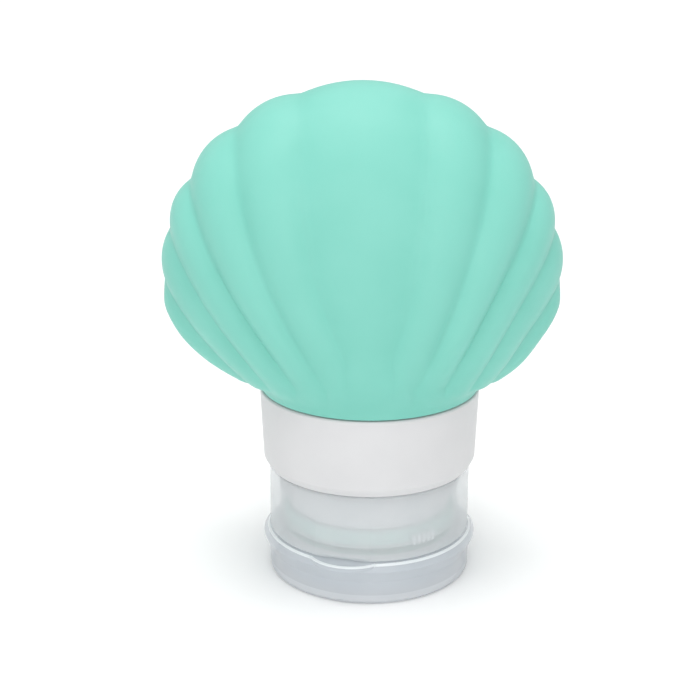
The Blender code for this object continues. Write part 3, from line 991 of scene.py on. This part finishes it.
@dataclass
class SiliconeShell:
    """The hollow scallop shell and its sleeve, one closed skin swept by its growth rule."""

    levels: Levels = LEVELS
    mouth_radius: float = 0.0213
    rim_half_width: float = 0.03784
    rim_radius_up: float = 0.03706
    rim_centre_above_mouth: float = 0.0212
    half_depth: float = 0.0230
    depth_power: float = 0.67
    depth_start: float = 0.12
    close_power: float = 2.75
    sleeve_foot: float = 0.0256
    rib_rise: float = 0.0010
    rib_start: float = 0.22
    crease_share: float = 0.05
    lean: float = -0.0015
    lean_start: float = 0.65
    side_rib: float = 5.0
    last_groove: float = 4.5
    grooves: list[float] = field(default_factory=lambda: [0.0, 0.5, 1.5, 2.5, 3.5, 4.5, 5.0])
    rim_degrees: list[float] = field(default_factory=lambda: [0.0, 17.7, 38.1, 58.6, 74.0, 89.3, 97.0])
    mouth_degrees: list[float] = field(default_factory=lambda: [0.0, 11.5, 22.0, 40.0, 60.0, 80.0, 90.0])
    fan_starts: list[float] = field(default_factory=lambda: [0.22, 0.22, 0.11, 0.13, 0.10, 0.0, 0.0])
    fan_powers: list[float] = field(default_factory=lambda: [2.44, 2.44, 1.67, 1.21, 1.08, 1.10, 1.40])
    fan_roots: list[float] = field(default_factory=lambda: [1.0, 1.0, 1.0, 1.0, 0.98, 0.95, 0.70])
    rise_shares: list[float] = field(default_factory=lambda: [0.70, 1.05, 1.30, 1.10, 0.75, 0.60])
    columns_per_rib: int = 14
    rows_per_skin: int = 96
    sleeve_share: float = 0.2
    shoulder_share: float = 0.25
    drop_share: float = 0.6875
    merge_gap: float = 0.00002
    sharp_degrees: float = 50.0

    def make(self, finish: Material) -> Object:
        """Sweep the shell.

        Args:
            finish: the silicone.

        Returns:
            The finished piece, not yet on its body.
        """
        recipe = Recipe("scallop_shell")
        sheet, at = self.sheet(recipe)
        signed_rise = self.rib_height(recipe, at) * (1.0 - 2.0 * at.inner)
        stored = recipe.flow(
            "GeometryNodeStoreNamedAttribute",
            {"Geometry": sheet, "Name": "rib_rise", "Value": signed_rise},
            data_type="FLOAT",
            domain="POINT",
        )
        smooth = self.smooth_place(recipe, at)
        shaped = recipe.flow("GeometryNodeSetPosition", {"Geometry": stored, "Position": smooth})
        merge = {"Geometry": shaped, "Distance": self.merge_gap}
        merged = recipe.flow("GeometryNodeMergeByDistance", merge)
        rise = recipe.flow("GeometryNodeInputNamedAttribute", {"Name": "rib_rise"}, data_type="FLOAT")
        normal = recipe.flow("GeometryNodeInputNormal")
        offset = recipe.flow("ShaderNodeVectorMath", {0: normal, "Scale": rise}, operation="SCALE")
        ribbed = recipe.flow("GeometryNodeSetPosition", {"Geometry": merged, "Offset": offset})
        shell = recipe.run("shell_body", ribbed, finish)
        clean_sweep(shell.data, self.sharp_degrees)
        return shell

    def sheet(self, recipe: Recipe) -> tuple[Socket, SkinPlace]:
        """Flat grid: X runs round the shell in ribs, Y from the inner rim over the sleeve to the outer rim.

        Args:
            recipe: the shell's recipe.

        Returns:
            The grid, and where its points lie on the shell.
        """
        columns = recipe.count("Columns per rib", self.columns_per_rib)
        rows = recipe.count("Rows per skin", self.rows_per_skin)
        ribs = 4.0 * self.side_rib
        grid = recipe.flow(
            "GeometryNodeMeshGrid",
            {
                "Size X": ribs,
                "Size Y": 2.0 * (1.0 + self.sleeve_share),
                "Vertices X": columns * ribs + 1.0,
                "Vertices Y": rows * 2.0 + 1.0,
            },
        )
        around, skin, _ = recipe.split(recipe.flow("GeometryNodeInputPosition"))
        rib = self.side_rib - (around.size() - self.side_rib).size()
        return grid, SkinPlace(around, rib, skin.size() - self.sleeve_share, skin.below(-NEAR))

    def smooth_place(self, recipe: Recipe, at: SkinPlace) -> Socket:
        """Place of a point of the shell without its ribs.

        Args:
            recipe: the shell's recipe.
            at: where the point lies on the shell.

        Returns:
            The position.
        """
        levels = self.levels
        inset = at.inner * recipe.size("Wall", levels.silicone_wall)
        share = (at.along.most(0.0) * (math.pi / 2.0)).sine()
        edge_width = self.side_rib - self.last_groove
        edge = ((at.rib - self.last_groove) / edge_width).most(0.0)
        edge = 1.0 - (1.0 - edge) * (1.0 - edge)
        eased_rib = at.rib.least(self.last_groove) + edge * edge_width

        # The last row of the sleeve has no drop left, so it closes the foot flat
        down = (0.0 - at.along).most(0.0) / self.sleeve_share
        shoulder = (down / self.shoulder_share).held()
        drop = ((down - self.shoulder_share) / self.drop_share).held()
        mouth = recipe.size("Mouth radius", self.mouth_radius)
        radius = mouth.toward(levels.sleeve_radius, shoulder) - inset
        base = inset + recipe.size("Mouth height", levels.mouth)

        mouth_angle = recipe.table(at.rib, self.grooves, self.mouth_degrees).radians()
        mouth_x = radius * mouth_angle.sine()
        mouth_y = radius * mouth_angle.cosine()
        rim_angle = recipe.table(eased_rib, self.grooves, self.rim_degrees).radians()
        rim_x = rim_angle.sine() * (recipe.size("Rim half width", self.rim_half_width) - inset)
        rim_up = rim_angle.cosine() * (recipe.size("Rim radius up", self.rim_radius_up) - inset)
        rim_z = rim_up + (levels.mouth + self.rim_centre_above_mouth)

        start = recipe.table(eased_rib, self.grooves, self.fan_starts)
        power = recipe.table(eased_rib, self.grooves, self.fan_powers)
        root = recipe.table(eased_rib, self.grooves, self.fan_roots)
        left = 1.0 - ((share - start).most(0.0) / (1.0 - start)).least(1.0)
        spread = (1.0 - left**power) ** root

        flat_rib = at.rib / self.side_rib
        half_depth = recipe.size("Half depth", self.half_depth) - inset
        depth = half_depth * (1.0 - flat_rib * flat_rib).most(0.0) ** self.depth_power
        deep = mouth_y.toward(depth, (share / self.depth_start).ease())
        close = (1.0 - share**self.close_power).most(0.0).root()
        x = mouth_x.toward(rim_x, spread) * at.around.sign()
        leaning = x + recipe.size("Lean", self.lean) * (share / self.lean_start).ease()
        y = deep * close * (at.around.size() - self.side_rib).sign()
        z = base.toward(rim_z, share) - drop * (base - self.sleeve_foot)
        return recipe.vector(leaning, y, z)

    def rib_height(self, recipe: Recipe, at: SkinPlace) -> Term:
        """Arched section of a rib with a soft crease in its grooves.

        Args:
            recipe: the shell's recipe.
            at: where the point lies on the shell.

        Returns:
            The height over the smooth shell.
        """
        number = (at.rib + 0.5).floor()
        from_groove = 1.0 - ((at.rib - number) * 2.0).size()
        soft = recipe.size("Crease softness", self.crease_share)
        lifted = (from_groove * from_groove + soft * soft).root() - soft
        full = (1.0 + soft * soft).root() - soft
        even = lifted / full
        arch = even * (2.0 - even)
        rise = recipe.pick(number.least(len(self.rise_shares) - 1.0), self.rise_shares)
        return arch * rise * recipe.size("Rib rise", self.rib_rise) * (at.along / self.rib_start).ease()

    def build(self, finishes: Finishes) -> None:
        """Make and hang the shell."""
        settle(self.make(finishes.mint), Body.BOTTLE, Slot.MINT, "silicone_body")


@dataclass
class HelixThread:
    """A single-start right-hand screw ridge."""

    radius: float
    foot: float
    turns: float
    inward: bool = False
    levels: Levels = LEVELS
    start_degrees: float = -150.0
    root_width: float = 0.0013
    crest_width: float = 0.0006
    root_depth: float = 0.0002
    fade_share: float = 0.06
    end_scale: float = 0.06
    steps_a_turn: int = 96
    sharp_degrees: float = 40.0

    def section(self, recipe: Recipe) -> Socket:
        """The ridge's section, with its crest away from the wall.

        Args:
            recipe: the thread's recipe.

        Returns:
            The section's curve.
        """
        outline = recipe.flow(
            "GeometryNodeCurvePrimitiveQuadrilateral",
            {
                "Bottom Width": recipe.size("Root width", self.root_width),
                "Top Width": recipe.size("Crest width", self.crest_width),
                "Offset": 0.0,
                "Height": recipe.size("Depth", self.levels.thread_depth + self.root_depth),
            },
            mode="TRAPEZOID",
        )
        lean = -1.0 if self.inward else 1.0
        middle = lean * (self.levels.thread_depth - self.root_depth) / 2.0
        turn = (0.0, 0.0, lean * math.pi / 2.0)
        place = {"Geometry": outline, "Rotation": turn, "Translation": (-middle, 0.0, 0.0)}
        return recipe.flow("GeometryNodeTransform", place)

    def make(self, name: str, finish: Material) -> Object:
        """Sweep the ridge's section along its helix.

        Args:
            name: the piece's name.
            finish: its material.

        Returns:
            The finished piece, not yet on its body.
        """
        recipe = Recipe(name)
        turns = recipe.size("Turns", self.turns)
        radius = recipe.size("Radius", self.radius)
        helix = recipe.flow(
            "GeometryNodeCurveSpiral",
            {
                "Resolution": recipe.count("Steps a turn", self.steps_a_turn),
                "Rotations": turns,
                "Start Radius": radius,
                "End Radius": radius,
                "Height": recipe.size("Pitch", self.levels.thread_pitch) * turns,
            },
        )
        upright = recipe.flow("GeometryNodeSetCurveNormal", {"Curve": helix}, mode="Z_UP")
        factor = Term(recipe, recipe.flow("GeometryNodeSplineParameter"))
        ends = factor.least(1.0 - factor) / recipe.size("Fade share", self.fade_share)
        swell = ends.held() * (1.0 - self.end_scale) + self.end_scale
        sweep = {"Curve": upright, "Profile Curve": self.section(recipe), "Scale": swell, "Fill Caps": True}
        ridge = recipe.flow("GeometryNodeCurveToMesh", sweep)
        start = (0.0, 0.0, math.radians(self.start_degrees))
        place = {"Geometry": ridge, "Translation": (0.0, 0.0, self.foot), "Rotation": start}
        thread = recipe.run(name, recipe.flow("GeometryNodeTransform", place), finish)
        clean_sweep(thread.data, self.sharp_degrees)
        return thread


@dataclass
class NeckAndCollar:
    """The rigid neck inside the silicone sleeve and the white collar that clamps it."""

    levels: Levels = LEVELS
    foot_radius: float = 0.0209
    top_radius: float = 0.0215
    lip: float = 0.0012
    chamfer_height: float = 0.0015
    chamfer_depth: float = 0.0008
    chamfer_round: float = 0.0006
    flange: float = 0.0012
    barb_proud: float = 0.0006
    barb_length: float = 0.0024
    barb_pitch: float = 0.0048
    barb_count: int = 3
    neck_top: float = 0.0427
    thread_foot: float = 0.0156
    thread_turns: float = 1.75

    def collar(self, finish: Material) -> Object:
        """White ring with a chamfered foot and softened edges.

        Args:
            finish: its material.

        Returns:
            The piece.
        """
        at = self.levels
        bore = at.sleeve_radius + at.gap
        inner = at.neck_radius + at.thread_depth + at.gap
        foot = at.collar_foot
        corners = [
            (self.top_radius, at.collar_top, FULL),
            (self.foot_radius, foot + self.chamfer_height, self.chamfer_round),
            (self.foot_radius - self.chamfer_depth, foot, FINE),
            (inner, foot, FINE),
            (inner, foot + self.lip, CRISP),
            (bore, foot + self.lip, CRISP),
            (bore, at.collar_top, EASED),
        ]
        return turned("clamp_collar", corners, finish)

    def neck(self, finish: Material) -> Object:
        """Neck with its flange and the barbs that grip the sleeve.

        Args:
            finish: its material.

        Returns:
            The piece.
        """
        at = self.levels
        tube = at.sleeve_radius - at.silicone_wall - at.gap - self.barb_proud
        flange_foot = at.collar_foot + self.lip + at.gap
        flange_top = flange_foot + self.flange
        corners = [(tube, self.neck_top, SOFT)]
        for number in range(self.barb_count):
            top = at.mouth - number * self.barb_pitch
            corners.append((tube, top, CRISP))
            corners.append((tube + self.barb_proud, top - self.barb_length, TRACE))
            corners.append((tube, top - self.barb_length, CRISP))
        corners += [
            (tube, flange_top, CRISP),
            (at.sleeve_radius, flange_top, FINE),
            (at.sleeve_radius, flange_foot, FINE),
            (at.neck_radius, flange_foot, FINE),
            (at.neck_radius, at.neck_rim, FULL),
            (at.neck_bore, at.neck_rim, FULL),
            (at.neck_bore, self.neck_top, SOFT),
        ]
        return turned("neck_tube", corners, finish, steps=4)

    def build(self, finishes: Finishes) -> None:
        """Make and hang the collar, the neck and its thread.

        Args:
            finishes: the bottle's materials.
        """
        settle(self.collar(finishes.white), Body.BOTTLE, Slot.WHITE, "collar")
        settle(self.neck(finishes.white), Body.BOTTLE, Slot.WHITE, "neck_insert")
        ridge = HelixThread(radius=self.levels.neck_radius, foot=self.thread_foot, turns=self.thread_turns)
        settle(ridge.make("neck_thread", finishes.white), Body.BOTTLE, Slot.WHITE)


@dataclass
class DripValve:
    """Clear valve cup with a cross slit, and the ring that holds it."""

    levels: Levels = LEVELS
    flange_radius: float = 0.0068
    flange: float = 0.0010
    wall: float = 0.0007
    depth: float = 0.0045
    skin: float = 0.0006
    dish: float = 0.0005
    slit_length: float = 0.0036
    slit_width: float = 0.00015
    slit_reach: float = 0.003
    ring: float = 0.0011
    sides: int = 96

    def cup(self, finish: Material) -> Object:
        """Flanged cup closed by a dished skin with a cross slit.

        Args:
            finish: its material.

        Returns:
            The piece.
        """
        at = self.levels
        seat = at.deck_top + at.gap
        top = seat + self.flange
        cup = at.nozzle_bore - at.gap
        bore = cup - self.wall
        foot = top - self.depth
        corners = [
            (0.0, foot + self.dish + self.skin, CRISP),
            (bore, foot + self.skin, EASED),
            (bore, top, FINE),
            (self.flange_radius, top, FINE),
            (self.flange_radius, seat, FINE),
            (cup, seat, FINE),
            (cup, foot, FULL),
            (bore, foot, FINE),
            (0.0, foot + self.dish, CRISP),
        ]
        mesh = lathe("valve_cup", rounded(corners, closed=False, steps=4), self.sides)
        half_width = self.slit_width / 2.0
        half_length = self.slit_length / 2.0
        slit = rectangle(-half_width, half_width, foot - at.tool_spare, foot + self.slit_reach)
        tools = []
        for number in range(2):
            blade = prism(f"slit_{number}", slit, -half_length, half_length)
            blade.transform(Matrix.Rotation(math.radians(90.0 * number), 4, "Z"))
            tools.append((blade, Work.CUT))
        return piece("valve_cup", worked(mesh, tools), finish, at.in_cap_frame())

    def retainer(self, finish: Material) -> Object:
        """Ring over the valve's flange.

        Args:
            finish: its material.

        Returns:
            The piece.
        """
        at = self.levels
        foot = at.deck_top + at.gap + self.flange + at.gap
        top = foot + self.ring
        corners = [
            (self.flange_radius, top, EASED),
            (self.flange_radius, foot, TRACE),
            (at.nozzle_bore, foot, TRACE),
            (at.nozzle_bore, top, EASED),
        ]
        return turned("valve_ring", corners, finish, sides=self.sides)

    def build(self, finishes: Finishes) -> None:
        """Make and hang the valve and its ring."""
        settle(self.cup(finishes.clear), Body.CAP, Slot.CLEAR, "drip_valve")
        settle(self.retainer(finishes.white), Body.CAP, Slot.WHITE, "valve_retainer")


@dataclass
class LockTeeth:
    """Short upright teeth at the foot of the skirt's bore, in two opposite groups."""

    levels: Levels = LEVELS
    count: int = 5
    pitch_degrees: float = 3.6
    middle_degrees: float = -54.0
    width: float = 0.00055
    depth: float = 0.0006
    height: float = 0.0019
    sunk: float = 0.0001

    def make(self, finish: Material) -> Object:
        """Set the teeth round the bore.

        Args:
            finish: their material.

        Returns:
            The finished piece, not yet on its body.
        """
        recipe = Recipe("lock_teeth")
        count = recipe.count("Teeth in a group", self.count)
        pitch = recipe.size("Pitch degrees", self.pitch_degrees)
        row = recipe.flow("GeometryNodeMeshLine", {"Count": count * 2.0}, mode="OFFSET")
        index = Term(recipe, recipe.flow("GeometryNodeInputIndex"))
        group = (index / count).floor()
        in_group = index - group * count
        degrees = self.middle_degrees + (in_group - (count - 1.0) / 2.0) * pitch + group * 180.0
        angle = degrees.radians()
        radius = recipe.size("Bore", self.levels.cap_bore) - self.depth / 2.0 + self.sunk
        up = self.levels.deck_top + self.height / 2.0
        spot = recipe.vector(radius * angle.cosine(), radius * angle.sine(), up)
        placed = recipe.flow("GeometryNodeSetPosition", {"Geometry": row, "Position": spot})
        size = (self.depth + 2.0 * self.sunk, self.width, self.height)
        tooth = recipe.flow("GeometryNodeMeshCube", {"Size": size})
        turn = recipe.flow("FunctionNodeEulerToRotation", {"Euler": recipe.vector(0.0, 0.0, angle)})
        copies = {"Points": placed, "Instance": tooth, "Rotation": turn}
        return recipe.run("lock_teeth", recipe.flow("GeometryNodeInstanceOnPoints", copies), finish)


@dataclass
class ScrewCap:
    """Frosted cap base: skirt, deck, nozzle, snap ring, valve wall, thread, teeth and hinge ears."""

    levels: Levels = LEVELS
    parting_round: float = 0.00025
    snap_ring_radius: float = 0.0180
    snap_ring_wall: float = 0.0010
    snap_ring_height: float = 0.0016
    nozzle_radius: float = 0.0052
    nozzle_height: float = 0.0044
    valve_wall_bore: float = 0.0071
    valve_wall: float = 0.0012
    valve_wall_height: float = 0.0029
    ear_inner: float = 0.0043
    ear_root_height: float = 0.0042
    ear_first_degrees: float = 180.0
    ear_last_degrees: float = 420.0
    ear_hole_reach: float = 0.009
    thumb_flat_depth: float = 0.0007
    thumb_flat_height: float = 0.0007
    thumb_flat_reach: float = 0.010
    thumb_tool_depth: float = 0.003
    gasket_outer: float = 0.0169
    gasket_inner: float = 0.0135
    thread_foot: float = 0.0171
    thread_turns: float = 1.0
    flat_normal: float = 0.9
    sides: int = 192

    def skirt(self) -> Mesh:
        """Skirt, deck, nozzle, valve wall and snap ring in one turned solid.

        Returns:
            The mesh, in the cap's own frame.
        """
        at = self.levels
        ring_foot = at.parting - self.snap_ring_height
        ring_bore = self.snap_ring_radius - self.snap_ring_wall
        wall_top = at.deck_top + self.valve_wall_height
        wall_radius = self.valve_wall_bore + self.valve_wall
        tip = at.parting - self.nozzle_height
        corners = [
            (at.cap_radius, at.cap_top, FULL),
            (at.cap_radius, at.parting, self.parting_round),
            (self.snap_ring_radius, at.parting, CRISP),
            (self.snap_ring_radius, ring_foot, FINE),
            (ring_bore, ring_foot, FINE),
            (ring_bore, at.parting, FINE),
            (self.nozzle_radius, at.parting, FULL),
            (self.nozzle_radius, tip, FULL),
            (at.nozzle_bore, tip, EASED),
            (at.nozzle_bore, at.deck_top, FINE),
            (self.valve_wall_bore, at.deck_top, CRISP),
            (self.valve_wall_bore, wall_top, FINE),
            (wall_radius, wall_top, EASED),
            (wall_radius, at.deck_top, EASED),
            (at.cap_bore, at.deck_top, SOFT),
            (at.cap_bore, at.cap_top, SOFT),
        ]
        return lathe("cap_skirt", rounded(corners, steps=4), self.sides)

    def ears(self) -> list[tuple[Mesh, Work]]:
        """The two hinge ears and the hole through them.

        Returns:
            The tool solids, each with what it does.
        """
        at = self.levels
        root = at.cap_bore + at.root_overlap
        outline = [(root, at.parting), (at.hinge_back - at.ear_radius, at.parting)]
        outline += arc(at.hinge(), at.ear_radius, self.ear_first_degrees, self.ear_last_degrees)
        outline.append((root, at.parting + self.ear_root_height))
        ears = prism_pair("ear", outline, self.ear_inner, self.ear_inner + at.ear_thickness)
        bore = circle(at.hinge(), at.pintle_radius + at.gap)
        hole = prism("ear_hole", bore, -self.ear_hole_reach, self.ear_hole_reach)
        return [(ear, Work.JOIN) for ear in ears] + [(hole, Work.CUT)]

    def body(self, finishes: Finishes) -> Object:
        """The skirt with its hinge ears and the flat over the thumb lip.

        Args:
            finishes: the bottle's materials.

        Returns:
            The piece.
        """
        at = self.levels
        front = -(at.cap_radius - self.thumb_flat_depth)
        low = at.parting - at.tool_spare
        high = at.parting + self.thumb_flat_height
        outline = rectangle(front - self.thumb_tool_depth, front, low, high)
        flat = prism("thumb_flat", outline, -self.thumb_flat_reach, self.thumb_flat_reach)
        mesh = worked(self.skirt(), [*self.ears(), (flat, Work.CUT)])
        cap = piece("cap_skirt", mesh, finishes.frosted, at.in_cap_frame())
        # The deck's faces get the painted mint glow
        dress_faces(cap, [finishes.painted_mint_glow], self.is_deck)
        return cap

    def is_deck(self, face: bpy.types.MeshPolygon) -> bool:
        """Find both faces of the deck, which get a painted mint glow for the gasket's light that shows
        through them.

        Args:
            face: a face of the cap base.

        Returns:
            Whether it lies on the deck.
        """
        at = self.levels
        spot = face.center
        level = at.parting - NEAR < spot.z < at.deck_top + NEAR and abs(face.normal.z) > self.flat_normal
        return level and math.hypot(spot.x, spot.y) < at.cap_bore

    def gasket(self, finish: Material) -> Object:
        """Mint sealing ring on the deck.

        Args:
            finish: its material.

        Returns:
            The piece.
        """
        at = self.levels
        foot = at.deck_top + at.gap
        corners = [
            (self.gasket_outer, at.gasket_top, FULL),
            (self.gasket_outer, foot, FULL),
            (self.gasket_inner, foot, EASED),
            (self.gasket_inner, at.gasket_top, EASED),
        ]
        return turned("seal_ring", corners, finish)

    def build(self, finishes: Finishes) -> None:
        """Make and hang the cap base, its thread, its teeth and the gasket.

        Args:
            finishes: the bottle's materials.
        """
        settle(self.body(finishes), Body.CAP, Slot.FROSTED, "cap_base")
        bore = self.levels.cap_bore
        ridge = HelixThread(radius=bore, foot=self.thread_foot, turns=self.thread_turns, inward=True)
        settle(ridge.make("cap_thread", finishes.frosted), Body.CAP, Slot.FROSTED)
        # The teeth take the painted highlight finish, so they show brighter than the frosted plastic round
        # them
        settle(LockTeeth().make(finishes.painted_highlight_edge), Body.CAP, Slot.FROSTED)
        settle(self.gasket(finishes.mint_ring), Body.SEAL, Slot.MINT, "sealing_gasket")


@dataclass
class FlipLid:
    """Frosted lid with its bead, thumb lip, nozzle plug and hinge knuckle."""

    levels: Levels = LEVELS
    radius: float = 0.0200
    height: float = 0.0087
    wall: float = 0.0017
    floor: float = 0.0016
    inner_round: float = 0.0008
    foot_round: float = 0.0010
    bead_proud: float = 0.0012
    bead_height: float = 0.0039
    bead_slope: float = 0.0013
    # Height of the painted highlight along the lid's top edge
    painted_highlight_edge: float = 0.0004
    # Heights between which the lid's foot gets painted light
    painted_light_low: float = 0.0006
    painted_light_high: float = 0.0020
    lip_radius: float = 0.0090
    lip_proud: float = 0.0021
    lip_height: float = 0.0012
    lip_rim: float = 0.0005
    plug_radius: float = 0.0032
    plug_wall: float = 0.0009
    plug_taper: float = 0.0005
    plug_top: float = 0.0059
    knuckle_radius: float = 0.0015
    knuckle_length: float = 0.0080
    knuckle_root: float = 0.0038
    knuckle_first_degrees: float = 185.0
    knuckle_last_degrees: float = -60.0
    sides: int = 192
    lip_sides: int = 128

    def cup(self) -> Mesh:
        """The turned cup with its bead and plug.

        Returns:
            The mesh, in the cap's own frame.
        """
        bore = self.radius - self.wall
        edge = self.painted_highlight_edge
        plug_bore = self.plug_radius - self.plug_wall - self.plug_taper
        corners = [
            (0.0, self.floor, CRISP),
            (plug_bore, self.floor, EASED),
            (plug_bore, self.plug_top, FINE),
            (self.plug_radius - self.plug_taper, self.plug_top, EASED),
            (self.plug_radius, self.floor, SOFT),
            (bore, self.floor, self.inner_round),
            (bore, self.height, FINE),
            (self.radius, self.height, TRACE),
            # Corner on the bead at the foot of the painted highlight
            (self.radius + self.bead_proud * edge / self.bead_slope, self.height - edge, CRISP),
            (self.radius + self.bead_proud, self.height - self.bead_slope, SOFT),
            (self.radius, self.height - self.bead_height, EASED),
            # Corner at the top of the band of painted light
            (self.radius, self.painted_light_high, CRISP),
            (self.radius, 0.0, self.foot_round),
            (0.0, 0.0, CRISP),
        ]
        return lathe("snap_lid", rounded(corners, closed=False), self.sides)

    def lip_centre(self) -> float:
        """Y of the thumb lip's centre, in the cap's own frame."""
        return self.lip_radius - self.lip_proud - self.radius

    def thumb_lip(self) -> Mesh:
        """Crescent at the front that a thumb pushes.

        Returns:
            The mesh, in the cap's own frame.
        """
        low = self.height - self.lip_height
        corners = [
            (0.0, self.height, CRISP),
            (self.lip_radius - self.lip_rim, self.height, CRISP),
            (self.lip_radius, self.height, EASED),
            (self.lip_radius, low, FULL),
            (0.0, low, CRISP),
        ]
        mesh = lathe("thumb_lip", rounded(corners, closed=False), self.lip_sides)
        mesh.transform(Matrix.Translation((0.0, self.lip_centre(), 0.0)))
        spare = self.levels.tool_spare
        hollow = rectangle(0.0, self.radius - self.wall / 2.0, self.height + spare, low - spare)
        return worked(mesh, [(lathe("lid_hollow", hollow, self.sides), Work.CUT)])

    def knuckle(self) -> list[tuple[Mesh, Work]]:
        """Room for the ears, the knuckle between them and the pintles.

        Returns:
            The tool solids, each with what it does.
        """
        at = self.levels
        half = self.knuckle_length / 2.0
        room = circle(at.hinge(), at.ear_radius + at.gap)
        rooms = prism_pair("ear_room", room, half, half + at.ear_thickness + 2.0 * at.gap)
        root = self.radius - self.wall + at.root_overlap
        outline = [(root, self.height)]
        outline += arc(at.hinge(), self.knuckle_radius, self.knuckle_first_degrees, self.knuckle_last_degrees)
        outline.append((root, self.height - self.knuckle_root))
        knuckle = prism("knuckle", outline, -half, half)
        reach = half + at.gap + at.ear_thickness
        pintles = prism("pintles", circle(at.hinge(), at.pintle_radius), -reach, reach)
        return [(each, Work.CUT) for each in rooms] + [(knuckle, Work.JOIN), (pintles, Work.JOIN)]

    def finish_number(self, face: bpy.types.MeshPolygon) -> int:
        """Pick a face's finish, with a painted highlight on the top edge and the lip's rim and painted light
        on a band at the foot.

        Args:
            face: a face of the lid.

        Returns:
            1 for the painted highlight on the top edge and the lip's rim, 2 for the painted light on the band
            at the foot, 0 elsewhere.
        """
        spot = self.levels.in_cap_frame().inverted() @ face.center
        if math.hypot(spot.x, spot.y) <= self.radius - NEAR:
            return 0
        from_lip = math.hypot(spot.x, spot.y - self.lip_centre()) - self.lip_radius
        inside_lip = spot.y < 0.0 and from_lip < -self.lip_rim
        if spot.z > self.height - self.painted_highlight_edge and not inside_lip:
            return 1
        return 2 if self.painted_light_low < spot.z < self.painted_light_high else 0

    def build(self, finishes: Finishes) -> None:
        """Make and hang the lid.

        Args:
            finishes: the bottle's materials.
        """
        mesh = worked(self.cup(), [(self.thumb_lip(), Work.JOIN), *self.knuckle()])
        # The lid takes the darker copy of the frosted finish, with its painted shade
        lid = piece("snap_lid", mesh, finishes.frosted_lid_painted_shade, self.levels.in_cap_frame())
        # Painted highlight on the top edge and the lip's rim, painted light on the band at the foot
        dress_faces(lid, [finishes.painted_highlight_edge, finishes.painted_light_band], self.finish_number)
        settle(lid, Body.LID, Slot.FROSTED, "flip_lid")


# Studio


@dataclass(frozen=True)
class Softbox:
    """A square light that looks at the bottle: its side in metres and its power in watts."""

    name: str
    place: Place
    side: float
    power: float


@dataclass
class Studio:
    """Pale floor, soft light and the photograph's camera."""

    eye: Place = (-0.00384, -0.300, 0.1475)
    tilt_degrees: float = 71.13
    lens: float = 83.64
    sensor: float = 36.0
    clip_start: float = 0.01
    clip_end: float = 20.0
    floor_size: float = 6.0
    floor_cells: int = 4
    aim: Place = (0.0, 0.0, 0.05)
    surround: float = 0.58
    softboxes: tuple[Softbox, ...] = (
        Softbox("key_box", (-0.1, -0.4, 3.2), 2.4, 70.0),
        Softbox("front_box", (-0.15, -2.8, 1.3), 1.6, 25.0),
        Softbox("back_box", (0.0, 1.6, 3.2), 2.2, 16.0),
    )

    def floor(self, finish: Material) -> None:
        """A large flat floor.

        Args:
            finish: its material.
        """
        solid = bmesh.new()
        cells = self.floor_cells
        bmesh.ops.create_grid(solid, x_segments=cells, y_segments=cells, size=self.floor_size / 2.0)
        floor = piece("studio_floor", keep_outward(solid, bpy.data.meshes.new("studio_floor")), finish)

    def camera(self) -> None:
        """The camera at the photograph's angle."""
        data = bpy.data.cameras.new("photo_camera")
        data.lens = self.lens
        data.sensor_width = self.sensor
        data.sensor_fit = "HORIZONTAL"
        data.clip_start = self.clip_start
        data.clip_end = self.clip_end
        camera = add_object("photo_camera", data)
        camera.location = self.eye
        camera.rotation_euler = (math.radians(self.tilt_degrees), 0.0, 0.0)
        bpy.context.scene.camera = camera

    def hang(self, box: Softbox) -> None:
        """Hang a light and turn it to the bottle.

        Args:
            box: the light.
        """
        data = bpy.data.lights.new(box.name, "AREA")
        data.shape = "SQUARE"
        data.size = box.side
        data.energy = box.power
        lamp = add_object(box.name, data)
        lamp.location = box.place
        look = Vector(self.aim) - Vector(box.place)
        lamp.rotation_euler = look.to_track_quat("-Z", "Y").to_euler()

    def sky(self) -> None:
        """An even white surround and plain output colours."""
        world = bpy.data.worlds.new("white_surround")
        world.use_nodes = True
        background = world.node_tree.nodes["Background"]
        background.inputs["Color"].default_value = (1.0, 1.0, 1.0, 1.0)
        background.inputs["Strength"].default_value = self.surround
        bpy.context.scene.world = world
        bpy.context.scene.view_settings.view_transform = "Standard"

    def build(self, finishes: Finishes) -> None:
        """Set up the studio.

        Args:
            finishes: the materials.
        """
        self.floor(finishes.floor)
        self.sky()
        for box in self.softboxes:
            self.hang(box)
        self.camera()


def main() -> None:
    """Build every sub-assembly in order."""
    logging.basicConfig(level=logging.INFO, format="%(name)s: %(message)s")
    finishes = Finishes()
    for assembly in (SiliconeShell(), NeckAndCollar(), DripValve(), ScrewCap(), FlipLid()):
        assembly.build(finishes)
    Studio().build(finishes)


if __name__ == "__main__":
    main()
